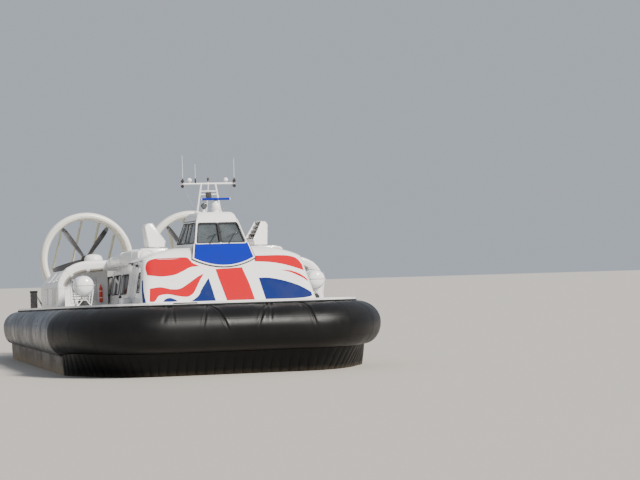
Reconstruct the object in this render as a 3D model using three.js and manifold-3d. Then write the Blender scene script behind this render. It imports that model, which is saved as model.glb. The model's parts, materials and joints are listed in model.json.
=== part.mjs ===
// A passenger hovercraft of about 24 m with two ducted propellers, on its inflated skirt.
// Units are millimetres. The bow points to -Y, port is +X, and Z = 0 is the ground under the skirt.
import * as THREE from "three";
import { mergeVertices } from "three/addons/utils/BufferGeometryUtils.js";
import Module from "manifold-3d";

const wasm = await Module();
wasm.setup();

// Clearance between pieces that touch
const GAP = 0.4;

// Deck and hull
const DECK_BOW_Y = -10918;
const DECK_STERN_Y = 11070;
const DECK_BOW_Z = 2554;
const DECK_FALL = 0.0215; // the deck comes down this much for each unit towards the stern
const DECK_HALF = 5450;
const DECK_THICK = 60;
const BOW_FLAT_HALF = 2630;
const BOW_CORNER_END_Y = -6300;
const STERN_RADIUS = 2300;
const RAIL_HEIGHT = 70;
const RAIL_WIDTH = 50;
const HULL_INSET = 600;
const HULL_BOTTOM_Z = 1150;
const SKID = { x: 2600, width: 500, bow: -7000, stern: 7500, bottom: 950 };

// Skirt: columns are edge station, bulge, height of the widest point, height of the finger line,
// how far out the finger line is, and how far out the hem is on the ground
const BOW_SKIRT = [
  [0, 1000, 1640, 840, 250, -340],
  [1.2, 1000, 1640, 840, 250, -340],
  [1.5, 940, 1640, 840, 250, -250],
  [1.7, 900, 1640, 840, 270, -100],
  [1.77, 905, 1640, 830, 290, 60],
  [1.84, 925, 1630, 800, 330, 180],
  [1.875, 945, 1620, 785, 330, 200],
  [1.91, 890, 1600, 770, 330, 210],
  [1.925, 760, 1590, 765, 330, 220],
  [1.93, 600, 1580, 760, 330, 220],
];
const REST_SKIRT = [
  [1.93, 590, 1500, 700, 330, 220],
  [3, 630, 1410, 700, 330, 220],
  [3.5, 760, 1410, 700, 300, 120],
  [4, 850, 1410, 700, 250, 50],
  [5, 850, 1410, 700, 250, 50],
];
const BOW_BAG_END = 1.93;
const BAG_SPLIT = 0.0003; // stations left between two bags
const BAG_INNER_Z = 1180;
const BAG_ARC_STEPS = 6;
const FINGER = { depth: 420, hem: 100, pleat: 45, gap: 10 };
const FINGER_COUNTS = { bow: 26, side: 24, stern: 20 };

// Cabin: heights are above the deck, and its front leans back
const CABIN = { front: -9985, rake: 0.7, rear: 2600, half: 3250, lean: 0.165, wall: 60, radius: 320 };
const SHOULDER = 1660;
const ROOF_TOP = 2070;
const CABIN_LEVELS = [ // height, and how far the shoulder has turned in at the sides and the ends
  [0, 0, 0],
  [850, 0, 0],
  [SHOULDER, 0, 0],
  [1740, 120, 25],
  [1830, 320, 60],
  [1930, 620, 130],
  [2010, 930, 230],
  [2055, 1200, 350],
  [ROOF_TOP, 1400, 520],
];
const NOSE_END_Y = -8560;
const SIDE_WINDOWS = [ // bow end, stern end
  [-6230, -4770],
  [-4520, -2860],
  [-2500, -840],
];
const WINDOW_H = [470, 1180];
const DOOR = { rear: -8060, frontLow: -9180, frontHigh: -8620, low: 90, high: 1600, gap: 10, above: 18 };
const DOOR_WINDOW = { rear: -8350, frontLow: -8930, frontHigh: -8700, low: 480, high: 1180 };
const SEATS = { first: -7300, pitch: 860, rows: 10, inner: 420, outer: 2560, plate: 40 };

// Wheelhouse: heights are above the ground
const HOUSE = { base: 3700, sill: 4705, head: 5490, joint: 5560, top: 5880, wall: 60, radius: 60 };
// The front keeps level with the cabin's nose, whose rake is measured from the sloping deck
const FRONT_RAKE = CABIN.rake / (1 - CABIN.rake * DECK_FALL);
const HOUSE_FRONT = { y: -8831, z: 4158, rake: FRONT_RAKE, proud: 50 };
const HOUSE_REAR = { y: -4750, z: 4530, rake: -0.77 };
const HOUSE_HALF = { x: 1112, z: 4158, lean: 0.2383 };
const HOUSE_EAVES = 5600;
const HOUSE_LEVELS = [ // height, and how far the roof edge has turned in
  [HOUSE.base, 0],
  [HOUSE_EAVES, 0],
  [5740, 10],
  [5810, 35],
  [5860, 80],
  [HOUSE.top, 150],
];
const CHIN = { side: 4150, drop: 275, thick: HOUSE_FRONT.proud - 2 * GAP };

// Mast and what it carries
const MAST = { y: -6500, foot: 470, head: 270, crossZ: 6986, crossHalf: 1039, footZ: 5800 };
const WHIPS = [ // place across, top height
  [-975, 8070],
  [-490, 7730],
  [1010, 7940],
];
const SCANNER = { x: 120, y: -7180, z: 6360, half: 580 };
const SEARCHLIGHT = { x: -330, y: -7130, z: 6010 };

// Air trunks and swivelling bow thrusters
const ARCH = { bow: -3180, stern: -2720, outer: 5350, thick: 320, top: 4200, crown: 4060 };
const TRUNK = [ // place along, centre across, centre height, half width, half height
  [-2800, 3230, 4040, 210, 165],
  [-3900, 3130, 4110, 205, 215],
  [-5000, 3000, 4200, 205, 265],
  [-5900, 2800, 4260, 200, 290],
  [-6450, 2560, 4320, 190, 230],
];
const THRUSTER = { x: 1960, y: -5780, height: 930, lowHalf: 300, highHalf: 190, wall: 28, plinth: 70 };
const SWING = { port: 26, starboard: 6 }; // how far each thruster is turned from inboard in the photo

// Propeller ducts
const DUCT = { x: 2379, z: 4329, front: 8250, rear: 9650, bore: 1760, outer: 2086 };
const PROP = { y: 8800, radius: 1735, blades: 5, first: 54 };
const BLADE = [ // radius, chord, thickness, twist in degrees
  [120, 230, 90, 62],
  [420, 290, 60, 50],
  [900, 310, 42, 38],
  [1400, 270, 26, 28],
  [PROP.radius, 150, 12, 24],
];
const RUDDER = { y: 9880, chord: 620, nose: 150, thick: 80, cant: 14, ends: 1860, pin: 20, bracket: 60 };
const RUDDER_PLACES = [-1200, -400, 400, 1200];

// Deck gear
const MODULE = { inner: 3290, bow: -2640, stern: 2750, tail: 6900 };
const MODULE_OUTLINE = [ // place across, height above the deck
  [3290, 0],
  [5190, 0],
  [5190, 950],
  [4700, 1520],
  [3290, 1690],
];
const ENGINE = { x: 3950, half: 420, bow: 3300, stern: 5200, height: 950 };
const RAFT = { x: 4548, bow: -5150, stern: -3800, z: 3256, radius: 372 };
const BOARD = { x: 5200, y: 5200, width: 300, thick: 60, height: 800 };

const radians = (degrees) => (degrees * Math.PI) / 180;
const deckAt = (y) => DECK_BOW_Z - DECK_FALL * (y - DECK_BOW_Y);

// Solids and meshes

// A closed three.js geometry as a solid that can be cut and joined
function toSolid(geometry) {
  const bare = new THREE.BufferGeometry();
  bare.setAttribute("position", geometry.getAttribute("position"));
  if (geometry.index) bare.setIndex(geometry.index);
  const merged = mergeVertices(bare, 0.01);
  const make = (triVerts) =>
    new wasm.Manifold(
      new wasm.Mesh({ numProp: 3, vertProperties: merged.attributes.position.array, triVerts }),
    );
  const faces = new Uint32Array(merged.index.array);
  const solid = make(faces);
  return solid.volume() > 0 ? solid : make(faces.reverse());
}

function toGeometry(solid) {
  const mesh = solid.getMesh();
  const geometry = new THREE.BufferGeometry();
  geometry.setAttribute("position", new THREE.BufferAttribute(mesh.vertProperties, 3));
  geometry.setIndex(new THREE.BufferAttribute(mesh.triVerts, 1));
  geometry.computeVertexNormals();
  return geometry;
}

const joined = (solids) => solids.reduce((whole, next) => whole.add(next));

// Heights above the sloping deck become heights above the ground
const DECK_FRAME = new THREE.Matrix4().set(
  1, 0, 0, 0,
  0, 1, 0, 0,
  0, -DECK_FALL, 1, deckAt(0),
  0, 0, 0, 1,
);
const onDeck = (geometry) => toSolid(geometry.applyMatrix4(DECK_FRAME));

// An outline drawn across one axis and carried straight along it
function prism(outline, from, to, axis) {
  const shape = new THREE.Shape(outline.map(([a, b]) => new THREE.Vector2(a, b)));
  const geometry = new THREE.ExtrudeGeometry(shape, { depth: to - from, bevelEnabled: false });
  const frames = {
    x: [0, 0, 1, from, 1, 0, 0, 0, 0, 1, 0, 0, 0, 0, 0, 1], // outline in y, z
    y: [1, 0, 0, 0, 0, 0, 1, from, 0, 1, 0, 0, 0, 0, 0, 1], // outline in x, z
    z: [1, 0, 0, 0, 0, 1, 0, 0, 0, 0, 1, from, 0, 0, 0, 1], // outline in x, y
  };
  return geometry.applyMatrix4(new THREE.Matrix4().set(...frames[axis]));
}

function box(x0, x1, y0, y1, z0, z1) {
  const geometry = new THREE.BoxGeometry(x1 - x0, y1 - y0, z1 - z0);
  return geometry.translate((x0 + x1) / 2, (y0 + y1) / 2, (z0 + z1) / 2);
}

// Closed surface through rings of points, each ring with the same count
function loft(rings) {
  const count = rings[0].length;
  const position = rings.flat().flatMap((point) => [point.x, point.y, point.z]);
  const index = [];
  for (let i = 0; i < rings.length - 1; i++) {
    for (let j = 0; j < count; j++) {
      const a = i * count + j;
      const b = i * count + ((j + 1) % count);
      index.push(a, b, b + count, a, b + count, a + count);
    }
  }
  for (const [first, turned] of [[0, true], [(rings.length - 1) * count, false]]) {
    const middle = position.length / 3;
    const ring = rings[first / count];
    const centre = ring.reduce((sum, point) => sum.add(point), new THREE.Vector3());
    centre.divideScalar(count);
    position.push(centre.x, centre.y, centre.z);
    for (let j = 0; j < count; j++) {
      const a = first + j;
      const b = first + ((j + 1) % count);
      index.push(...(turned ? [middle, b, a] : [middle, a, b]));
    }
  }
  const geometry = new THREE.BufferGeometry();
  geometry.setAttribute("position", new THREE.Float32BufferAttribute(position, 3));
  geometry.setIndex(index);
  return geometry;
}

// Straight round bar between two points
function bar(from, to, radius, sides = 8) {
  const start = new THREE.Vector3(...from);
  const way = new THREE.Vector3(...to).sub(start);
  const geometry = new THREE.CylinderGeometry(radius, radius, way.length(), sides);
  geometry.translate(0, way.length() / 2, 0);
  const turn = new THREE.Quaternion().setFromUnitVectors(
    new THREE.Vector3(0, 1, 0),
    way.clone().normalize(),
  );
  return toSolid(geometry.applyQuaternion(turn).translate(...from));
}

// Round body about a line along Y: the profile gives radius and place along
function turnedAlongY(profile, sides, x, z) {
  const points = profile.map(([radius, along]) => new THREE.Vector2(radius, along));
  return toSolid(new THREE.LatheGeometry(points, sides).translate(x, 0, z));
}

function turnedUp(profile, sides, x, y) {
  const points = profile.map(([radius, up]) => new THREE.Vector2(radius, up));
  return toSolid(new THREE.LatheGeometry(points, sides).rotateX(Math.PI / 2).translate(x, y, 0));
}

// Mirrored copy across the centre line
function mirrored(solid) {
  return toSolid(toGeometry(solid).scale(-1, 1, 1));
}

// Materials and the group

const COLOURS = { // colour, roughness, metalness
  skirt: [0x1b1c1f, 0.55, 0],
  hull: [0x8d9396, 0.5, 0.2],
  white: [0xeceae6, 0.35, 0.05],
  cream: [0xf0ead9, 0.4, 0.05],
  blue: [0x2d51c8, 0.3, 0],
  glass: [0x20262a, 0.1, 0],
  dark: [0x2b2b2d, 0.5, 0.1],
  seat: [0x2f4a78, 0.8, 0],
  grey: [0x6d6f70, 0.6, 0.2],
};

const craft = new THREE.Group();

function add(name, solid, colour, place = [0, 0, 0]) {
  const [color, roughness, metalness] = COLOURS[colour];
  const material = new THREE.MeshStandardMaterial({ color, roughness, metalness });
  const mesh = new THREE.Mesh(toGeometry(solid), material);
  mesh.name = name;
  mesh.position.set(...place);
  craft.add(mesh);
  return mesh;
}

// Deck edge: station 0 is the middle of the bow, 1 and 2 the ends of the bow corner,
// 3 and 4 the ends of the stern corner, 5 the middle of the stern, and minus is starboard

function edgePoint(station) {
  const side = station < 0 ? -1 : 1;
  const t = Math.abs(station);
  const along = t - Math.floor(t);
  const turn = (along * Math.PI) / 2;
  const wide = DECK_HALF - BOW_FLAT_HALF;
  const deep = BOW_CORNER_END_Y - DECK_BOW_Y;
  const sternY = DECK_STERN_Y - STERN_RADIUS;
  let x = DECK_HALF;
  let y = BOW_CORNER_END_Y + (t - 2) * (sternY - BOW_CORNER_END_Y);
  let out = new THREE.Vector2(1, 0);
  if (t <= 1) {
    [x, y] = [BOW_FLAT_HALF * t, DECK_BOW_Y];
    out.set(0, -1);
  } else if (t < 2) {
    [x, y] = [BOW_FLAT_HALF + wide * Math.sin(turn), BOW_CORNER_END_Y - deep * Math.cos(turn)];
    out.set(Math.sin(turn) / wide, -Math.cos(turn) / deep).normalize();
  } else if (t > 3 && t < 4) {
    out.set(Math.cos(turn), Math.sin(turn));
    [x, y] = [DECK_HALF - STERN_RADIUS * (1 - out.x), sternY + STERN_RADIUS * out.y];
  } else if (t >= 4) {
    [x, y] = [(DECK_HALF - STERN_RADIUS) * (5 - t), DECK_STERN_Y];
    out.set(0, 1);
  }
  return { x: side * x, y, nx: side * out.x, ny: out.y };
}

const offsetPoint = (edge, out, z) =>
  new THREE.Vector3(edge.x + edge.nx * out, edge.y + edge.ny * out, z);

const CORNER_STEPS = 8;
const steps = (from, to, count) =>
  Array.from({ length: count + 1 }, (_, i) => from + ((to - from) * i) / count);
const PORT_STATIONS = [0, ...steps(1, 2, CORNER_STEPS), ...steps(3, 4, CORNER_STEPS), 5];
const WHOLE_EDGE = [...PORT_STATIONS, ...PORT_STATIONS.slice(1, -1).reverse().map((t) => -t)];

const edgeRing = (out, heightAt) =>
  WHOLE_EDGE.map((station) => {
    const edge = edgePoint(station);
    const point = offsetPoint(edge, out, 0);
    point.z = heightAt(point.y);
    return point;
  });

function hullRaft() {
  const raft = toSolid(
    loft([
      edgeRing(-HULL_INSET, () => HULL_BOTTOM_Z),
      edgeRing(-HULL_INSET, (y) => deckAt(y) - DECK_THICK - GAP),
    ]),
  );
  const skids = [-1, 1].map((side) => {
    const middle = side * SKID.x;
    const half = SKID.width / 2;
    const top = HULL_BOTTOM_Z + 20;
    const outline = [
      [SKID.bow, top],
      [SKID.bow + 250, SKID.bottom],
      [SKID.stern - 250, SKID.bottom],
      [SKID.stern, top],
    ];
    return toSolid(prism(outline, middle - half, middle + half, "x"));
  });
  return joined([raft, ...skids]);
}

// Slab with the deck's outline, between two heights above the deck
const deckSlab = (out, low, high) =>
  toSolid(loft([edgeRing(out, (y) => deckAt(y) + low), edgeRing(out, (y) => deckAt(y) + high)]));

// Skirt shape at a station, read between the rows of its table
function skirtAt(table, station) {
  const t = Math.abs(station);
  const i = Math.max(1, table.findIndex((row) => row[0] >= t - 1e-9));
  const [low, high] = [table[i - 1], table[i]];
  const part = (t - low[0]) / (high[0] - low[0]);
  const [, bulge, widest, line, lineOut, hemOut] = low.map((v, k) => v + (high[k] - v) * part);
  return { bulge, widest, line, lineOut, hemOut };
}

// Section of the inflated bag: two quarter ellipses outside, and straight against the hull
function bagSection(table, station) {
  const edge = edgePoint(station);
  const shape = skirtAt(table, station);
  const topAt = (out) => deckAt(edge.y + edge.ny * out) - DECK_THICK - 3;
  const top = topAt(0);
  const profile = [[-HULL_INSET + GAP, topAt(-HULL_INSET)]];
  for (let i = 0; i <= BAG_ARC_STEPS; i++) {
    const turn = (Math.PI / 2) * (1 - i / BAG_ARC_STEPS);
    const rise = (top - shape.widest) * Math.sin(turn);
    profile.push([shape.bulge * Math.cos(turn), shape.widest + rise]);
  }
  for (let i = 1; i <= BAG_ARC_STEPS; i++) {
    const turn = ((Math.PI / 2) * i) / BAG_ARC_STEPS;
    const out = shape.lineOut + (shape.bulge - shape.lineOut) * Math.cos(turn);
    profile.push([out, shape.widest - (shape.widest - shape.line) * Math.sin(turn)]);
  }
  profile.push([-HULL_INSET + GAP, BAG_INNER_Z]);
  return profile.map(([out, z]) => offsetPoint(edge, out, z));
}

const bag = (table, stations) => toSolid(loft(stations.map((t) => bagSection(table, t))));

// Stations spread evenly by length between two stations on one side
function evenStations(from, to, count) {
  const fine = steps(from, to, 400);
  const lengths = [0];
  for (let i = 1; i < fine.length; i++) {
    const [a, b] = [edgePoint(fine[i - 1]), edgePoint(fine[i])];
    lengths.push(lengths[i - 1] + Math.hypot(b.x - a.x, b.y - a.y));
  }
  const whole = lengths.at(-1);
  return steps(0, whole, count).map((length) => {
    const i = Math.max(1, lengths.findIndex((v) => v >= length - 1e-6));
    const part = (length - lengths[i - 1]) / (lengths[i] - lengths[i - 1]);
    return fine[i - 1] + (fine[i] - fine[i - 1]) * part;
  });
}

// Section of one finger: it hangs from the bag and narrows to the hem on the ground
function fingerSection(table, station, pleat) {
  const edge = edgePoint(station);
  const shape = skirtAt(table, station);
  const slope = (BAG_INNER_Z - shape.line) / (shape.lineOut + HULL_INSET);
  const top = shape.line - FINGER.gap;
  const inner = shape.lineOut - FINGER.depth;
  const profile = [
    [shape.lineOut - 30 + pleat / 3, top],
    [(shape.lineOut + shape.hemOut) / 2 + pleat, shape.line / 2],
    [shape.hemOut + pleat, 0],
    [shape.hemOut - FINGER.hem, 0],
    [inner, top + slope * FINGER.depth],
  ];
  return profile.map(([out, z]) => offsetPoint(edge, out, z));
}

const fingers = (table, stations) =>
  toSolid(
    loft(stations.map((t, i) => fingerSection(table, t, i % 2 ? FINGER.pleat : 0))),
  );

add("hull_raft", hullRaft(), "hull");
add("deck_plate", deckSlab(0, -DECK_THICK, 0), "white");
const rail = deckSlab(0, GAP, RAIL_HEIGHT).subtract(deckSlab(-RAIL_WIDTH, -50, RAIL_HEIGHT + 50));
add("deck_rail", rail, "white");

// The bag has a section at every corner of the hull and at every row of its table
const corners = steps(1, 2, CORNER_STEPS).slice(0, -1);
const bowRows = BOW_SKIRT.slice(1).map((row) => row[0]);
const bowHalf = [0.41, ...new Set([...corners, ...bowRows])].sort((a, b) => a - b);
add("bow_bag", bag(BOW_SKIRT, [...bowHalf.map((t) => -t).reverse(), 0, ...bowHalf]), "skirt");
const sternHalf = steps(3 + BAG_SPLIT, 4, CORNER_STEPS);
const sternStations = [...sternHalf, 5, ...sternHalf.map((t) => -t).reverse()];
add("stern_bag", bag(REST_SKIRT, sternStations), "skirt");

const bowFingers = evenStations(0, BOW_BAG_END, FINGER_COUNTS.bow);
const bowFingerStations = [...bowFingers.slice(1).map((t) => -t).reverse(), ...bowFingers];
add("bow_fingers", fingers(BOW_SKIRT, bowFingerStations), "skirt");
const sternFingers = evenStations(3 + BAG_SPLIT, 5, FINGER_COUNTS.stern);
const sternFingerStations = [...sternFingers, ...sternFingers.slice(0, -1).map((t) => -t).reverse()];
add("stern_fingers", fingers(REST_SKIRT, sternFingerStations), "skirt");

for (const [name, side] of [["port", 1], ["starboard", -1]]) {
  const ends = [side * (BOW_BAG_END + BAG_SPLIT), side * (3 - BAG_SPLIT)];
  const straight = steps(2 * side, ends[1], 4);
  add("side_bag_" + name, bag(REST_SKIRT, [ends[0], 1.97 * side, ...straight]), "skirt");
  const stations = evenStations(...ends, FINGER_COUNTS.side * 2);
  add("side_fingers_" + name, fingers(REST_SKIRT, stations), "skirt");
}

// Cabin

// Rounded rectangle seen from above
function planRing(front, rear, half, radius, z) {
  const corners = [ // centre across, centre along, first angle
    [half - radius, front + radius, -90],
    [half - radius, rear - radius, 0],
    [radius - half, rear - radius, 90],
    [radius - half, front + radius, 180],
  ];
  return corners.flatMap(([x, y, first]) =>
    steps(first, first + 90, 4).map((angle) => {
      const turn = radians(angle);
      return new THREE.Vector3(x + radius * Math.cos(turn), y + radius * Math.sin(turn), z);
    }),
  );
}

// Along the craft, a leaning wall is this many times as thick as square to itself
const FRONT_SLANT = Math.hypot(1, CABIN.rake);
const REAR_SLANT = Math.hypot(1, HOUSE_REAR.rake);

// The cabin's whole body, grown by a distance all round
function cabinBody(grow, low = 0) {
  const rings = CABIN_LEVELS.map(([height, sideInset, endInset], i) => {
    const last = i === CABIN_LEVELS.length - 1;
    const level = i === 0 ? low : height + (height > SHOULDER ? grow : 0);
    const lean = CABIN.lean * Math.min(height, SHOULDER);
    return planRing(
      CABIN.front + CABIN.rake * height + endInset - grow * FRONT_SLANT,
      CABIN.rear - endInset + grow,
      CABIN.half - lean - sideInset + grow,
      CABIN.radius + (last ? 0 : grow / 2),
      level,
    );
  });
  return onDeck(loft(rings));
}

const cabinShell = cabinBody(0, GAP).subtract(cabinBody(-CABIN.wall, -200));
const deckBox = (...sizes) => onDeck(box(...sizes));
const FAR = 8000;

function doorOutline(grow, above = 0) {
  return [
    [DOOR.rear + grow, DOOR.low - grow],
    [DOOR.rear + grow, DOOR.high + above],
    [DOOR.frontHigh - grow, DOOR.high + above],
    [DOOR.frontLow - grow, DOOR.low - grow],
  ];
}

const doorWindow = [
  [DOOR_WINDOW.rear, DOOR_WINDOW.low],
  [DOOR_WINDOW.rear, DOOR_WINDOW.high],
  [DOOR_WINDOW.frontHigh, DOOR_WINDOW.high],
  [DOOR_WINDOW.frontLow, DOOR_WINDOW.low],
];

// Front panel of the cabin: forward of a line that leans back with it
const noseRegion = onDeck(
  prism(
    [
      [-FAR * 2, -50],
      [DOOR.frontLow - 60, -50],
      [DOOR.frontLow - 60, DOOR.low],
      [DOOR.frontHigh - 60, DOOR.high + 2 * DOOR.above],
      [NOSE_END_Y, SHOULDER + 500],
      [-FAR * 2, SHOULDER + 500],
    ],
    -FAR,
    FAR,
    "x",
  ),
);
const behindNose = cabinShell.subtract(noseRegion);
const noseShift = (solid, y) => toSolid(toGeometry(solid).translate(0, y, 0));
add("cabin_nose", cabinShell.intersect(noseShift(noseRegion, -GAP)), "white");

const roofRegion = deckBox(-FAR, FAR, -FAR * 2, FAR, SHOULDER, FAR);
const belowRoof = deckBox(-FAR, FAR, -FAR * 2, FAR, -100, SHOULDER - GAP);
const walls = behindNose.intersect(belowRoof);
add("cabin_roof", behindNose.intersect(roofRegion), "white");
const aftRegion = deckBox(-FAR, FAR, CABIN.rear - CABIN.wall, FAR, -100, FAR);
const aftDoorway = deckBox(-450, 450, CABIN.rear - 200, CABIN.rear + 200, 100, 1600);
const aftWall = walls.intersect(aftRegion);
add("cabin_aft_wall", aftWall.subtract(aftDoorway), "white");

const glassShell = cabinBody(-CABIN.wall - GAP, -200).subtract(cabinBody(-CABIN.wall - 14, -200));
for (const [name, side] of [["port", 1], ["starboard", -1]]) {
  const across = side > 0 ? [2000, FAR] : [-FAR, -2000];
  const half = deckBox(...across, -FAR * 2, CABIN.rear - CABIN.wall - GAP, -100, FAR);
  const windows = SIDE_WINDOWS.map(([bow, stern]) => deckBox(...across, bow, stern, ...WINDOW_H));
  const doorway = onDeck(prism(doorOutline(DOOR.gap, DOOR.above), ...across, "x"));
  const wall = walls.intersect(half).subtract(joined([...windows, doorway]));
  add("cabin_side_" + name, wall, "white");
  const door = cabinShell.intersect(onDeck(prism(doorOutline(0), ...across, "x")));
  add("cabin_door_" + name, door.subtract(onDeck(prism(doorWindow, ...across, "x"))), "white");
  const pane = deckBox(...across, SIDE_WINDOWS[0][0] - 60, SIDE_WINDOWS[2][1] + 60, 400, 1250);
  add("side_glazing_" + name, glassShell.intersect(pane), "glass");
}

// Rows of seats on their floor plate, port side
function seatRows() {
  const { first, pitch, rows, inner, outer, plate } = SEATS;
  const pieces = [deckBox(inner, outer, first - 60, first + rows * pitch - 280, GAP, plate)];
  for (let row = 0; row < rows; row++) {
    const y = first + row * pitch;
    const outline = [ // faces forward: place along, height
      [y, plate - 5],
      [y + 380, plate - 5],
      [y + 560, 1000],
      [y + 450, 1000],
      [y + 330, 450],
      [y - 60, 450],
    ];
    pieces.push(onDeck(prism(outline, inner + 5, outer - 5, "x")));
  }
  return joined(pieces);
}
const seatsSolid = seatRows();
add("seats_port", seatsSolid, "seat");
add("seats_starboard", mirrored(seatsSolid), "seat");

// Wheelhouse

const houseFront = (z) => HOUSE_FRONT.y - HOUSE_FRONT.proud + HOUSE_FRONT.rake * (z - HOUSE_FRONT.z);
const houseRear = (z) => HOUSE_REAR.y + HOUSE_REAR.rake * (z - HOUSE_REAR.z);
const houseHalf = (z) => HOUSE_HALF.x - HOUSE_HALF.lean * (z - HOUSE_HALF.z);

// The wheelhouse's whole body, grown by a distance all round
function houseBody(grow, low = HOUSE.base) {
  const rings = HOUSE_LEVELS.map(([level, inset], i) => {
    const height = i === 0 ? low : level;
    return planRing(
      houseFront(height) + inset - grow * FRONT_SLANT,
      houseRear(height) - inset + grow * REAR_SLANT,
      houseHalf(height) - inset + grow,
      HOUSE.radius,
      height + (height > HOUSE_EAVES ? grow : 0),
    );
  });
  return toSolid(loft(rings));
}

const houseShell = houseBody(0).subtract(houseBody(-HOUSE.wall, HOUSE.base - 50));
const aboveCabin = houseShell.subtract(cabinBody(GAP, -200));

// The blue panel under the windscreen: it lies on the nose and ends in a curved lower edge
function chinRegion(grow) {
  const half = houseHalf(CHIN.side) + 200;
  const lower = steps(-1, 1, 12).map((t) => [
    t * half,
    CHIN.side - CHIN.drop * (1 - ((t * half) / houseHalf(CHIN.side)) ** 2) - grow,
  ]);
  const top = HOUSE.sill - 20 + grow;
  return toSolid(prism([...lower, [half, top], [-half, top]], -9800, -7900, "y"));
}

// Layer of the wheelhouse's front, between two depths behind its face
const slab = (front, back) => {
  const low = HOUSE.base;
  const high = HOUSE.sill + 200;
  return toSolid(
    prism(
      [
        [houseFront(low) + front, low],
        [houseFront(low) + back, low],
        [houseFront(high) + back, high],
        [houseFront(high) + front, high],
      ],
      -1500,
      1500,
      "x",
    ),
  );
};
const frontSkin = houseBody(0).intersect(slab(-100, CHIN.thick));
add("chin_panel", frontSkin.intersect(chinRegion(0)), "blue");

// Panes cut through the wheelhouse walls
const frontPanes = [
  [-1, -0.035],
  [0.035, 1],
].map(([from, to]) => {
  const low = houseHalf(HOUSE.sill) - 70;
  const high = houseHalf(HOUSE.head) - 70;
  const outline = [
    [from * low, HOUSE.sill],
    [to * low, HOUSE.sill],
    [to * high, HOUSE.head],
    [from * high, HOUSE.head],
  ];
  return toSolid(prism(outline, -9500, -7600, "y"));
});
const sidePanes = [
  [0.06, 0.49],
  [0.53, 0.94],
].map(([from, to]) => {
  const at = (z, part) => houseFront(z) + part * (houseRear(z) - houseFront(z));
  const low = HOUSE.sill + 30;
  const high = HOUSE.head - 30;
  const outline = [
    [at(low, from), low],
    [at(low, to), low],
    [at(high, to), high],
    [at(high, from), high],
  ];
  return toSolid(prism(outline, -1500, 1500, "x"));
});
const rearPane = toSolid(box(-600, 600, -5800, -4200, HOUSE.sill + 60, HOUSE.head - 60));
const houseBetween = (low, high) => toSolid(box(-1500, 1500, -9500, -4000, low, high));
const chinSeat = slab(-100, HOUSE_FRONT.proud + 2)
  .intersect(chinRegion(600))
  .intersect(houseBetween(HOUSE.base - 100, HOUSE.sill - 20 + GAP));
const houseWalls = aboveCabin
  .intersect(houseBetween(HOUSE.base, HOUSE.joint - GAP))
  .subtract(chinSeat)
  .subtract(joined([...frontPanes, ...sidePanes, rearPane]));
add("wheelhouse_walls", houseWalls, "white");
add("wheelhouse_roof", houseShell.intersect(houseBetween(HOUSE.joint, 6500)), "white");
const houseGlass = houseBody(-HOUSE.wall - GAP, HOUSE.base - 50)
  .subtract(houseBody(-HOUSE.wall - 14, HOUSE.base - 100))
  .intersect(houseBetween(HOUSE.sill - 40, HOUSE.head + 20));
add("wheelhouse_glazing", houseGlass, "glass");

// Console and two seats on the wheelhouse floor, joined by their base plate
function helm() {
  const floor = ROOF_TOP + 20;
  const desk = [
    [-8000, floor],
    [-7560, floor],
    [-7560, floor + 340],
    [-7950, floor + 470],
  ];
  const seat = [
    [-7150, floor],
    [-6830, floor],
    [-6640, floor + 910],
    [-6760, floor + 910],
    [-6900, floor + 350],
    [-7200, floor + 350],
  ];
  const pieces = [
    onDeck(box(-700, 700, -7950, -6250, ROOF_TOP + 2 * GAP, floor + 20)),
    onDeck(prism(desk, -700, 700, "x")),
  ];
  for (const x of [-360, 360]) {
    pieces.push(onDeck(prism(seat, x - 230, x + 230, "x")));
  }
  const frontEdge = toSolid(box(-900, 900, -9000, -5000, 3000, deckAt(-7000) + ROOF_TOP - 400));
  return joined(pieces).intersect(houseBody(-HOUSE.wall - 60)).subtract(frontEdge);
}
add("helm_console", helm(), "grey");

// Mast, scanner and searchlight

function mast() {
  const { y, foot, head, crossZ, crossHalf, footZ } = MAST;
  const bars = [
    bar([-foot, y, footZ], [-head, y, crossZ], 38),
    bar([foot, y, footZ], [head, y, crossZ], 38),
    bar([0, y + 520, footZ], [0, y, crossZ - 20], 32),
    bar([-crossHalf, y, crossZ], [crossHalf, y, crossZ], 34),
    bar([-330, y, 6700], [330, y, 6700], 24),
    bar([-355, y, 6580], [355, y, 6580], 24),
    bar([0, y, crossZ - 20], [0, y, 7230], 22),
  ];
  for (const [x, top] of WHIPS) {
    bars.push(bar([x, y, crossZ - 10], [x, y, crossZ + 180], 24));
    bars.push(bar([x, y, crossZ + 170], [x, y, top], 12, 6));
  }
  for (const side of [-1, 1]) {
    for (const up of [-95, 95]) {
      const x = side * (crossHalf - 40);
      bars.push(bar([x, y - 70, crossZ + up], [x, y + 60, crossZ + up], 62));
      bars.push(bar([x, y, crossZ], [x, y, crossZ + up], 18));
    }
  }
  return joined(bars).subtract(houseBody(GAP));
}
add("mast", mast(), "white");

const pedestalProfile = [
  [0, HOUSE.top - 60],
  [130, HOUSE.top - 60],
  [130, 6150],
  [110, 6240],
  [60, 6290],
  [0, 6300],
];
const pedestal = turnedUp(pedestalProfile, 12, SCANNER.x, SCANNER.y).subtract(houseBody(GAP));
add("radar_pedestal", pedestal, "white");

const scannerBody = joined([
  toSolid(box(-SCANNER.half, SCANNER.half, -55, 55, -30, 60)),
  turnedUp([[0, -52], [50, -52], [50, 0], [0, 0]], 12, 0, 0),
]);
add("radar_scanner", scannerBody, "blue", [SCANNER.x, SCANNER.y, SCANNER.z]);

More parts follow.
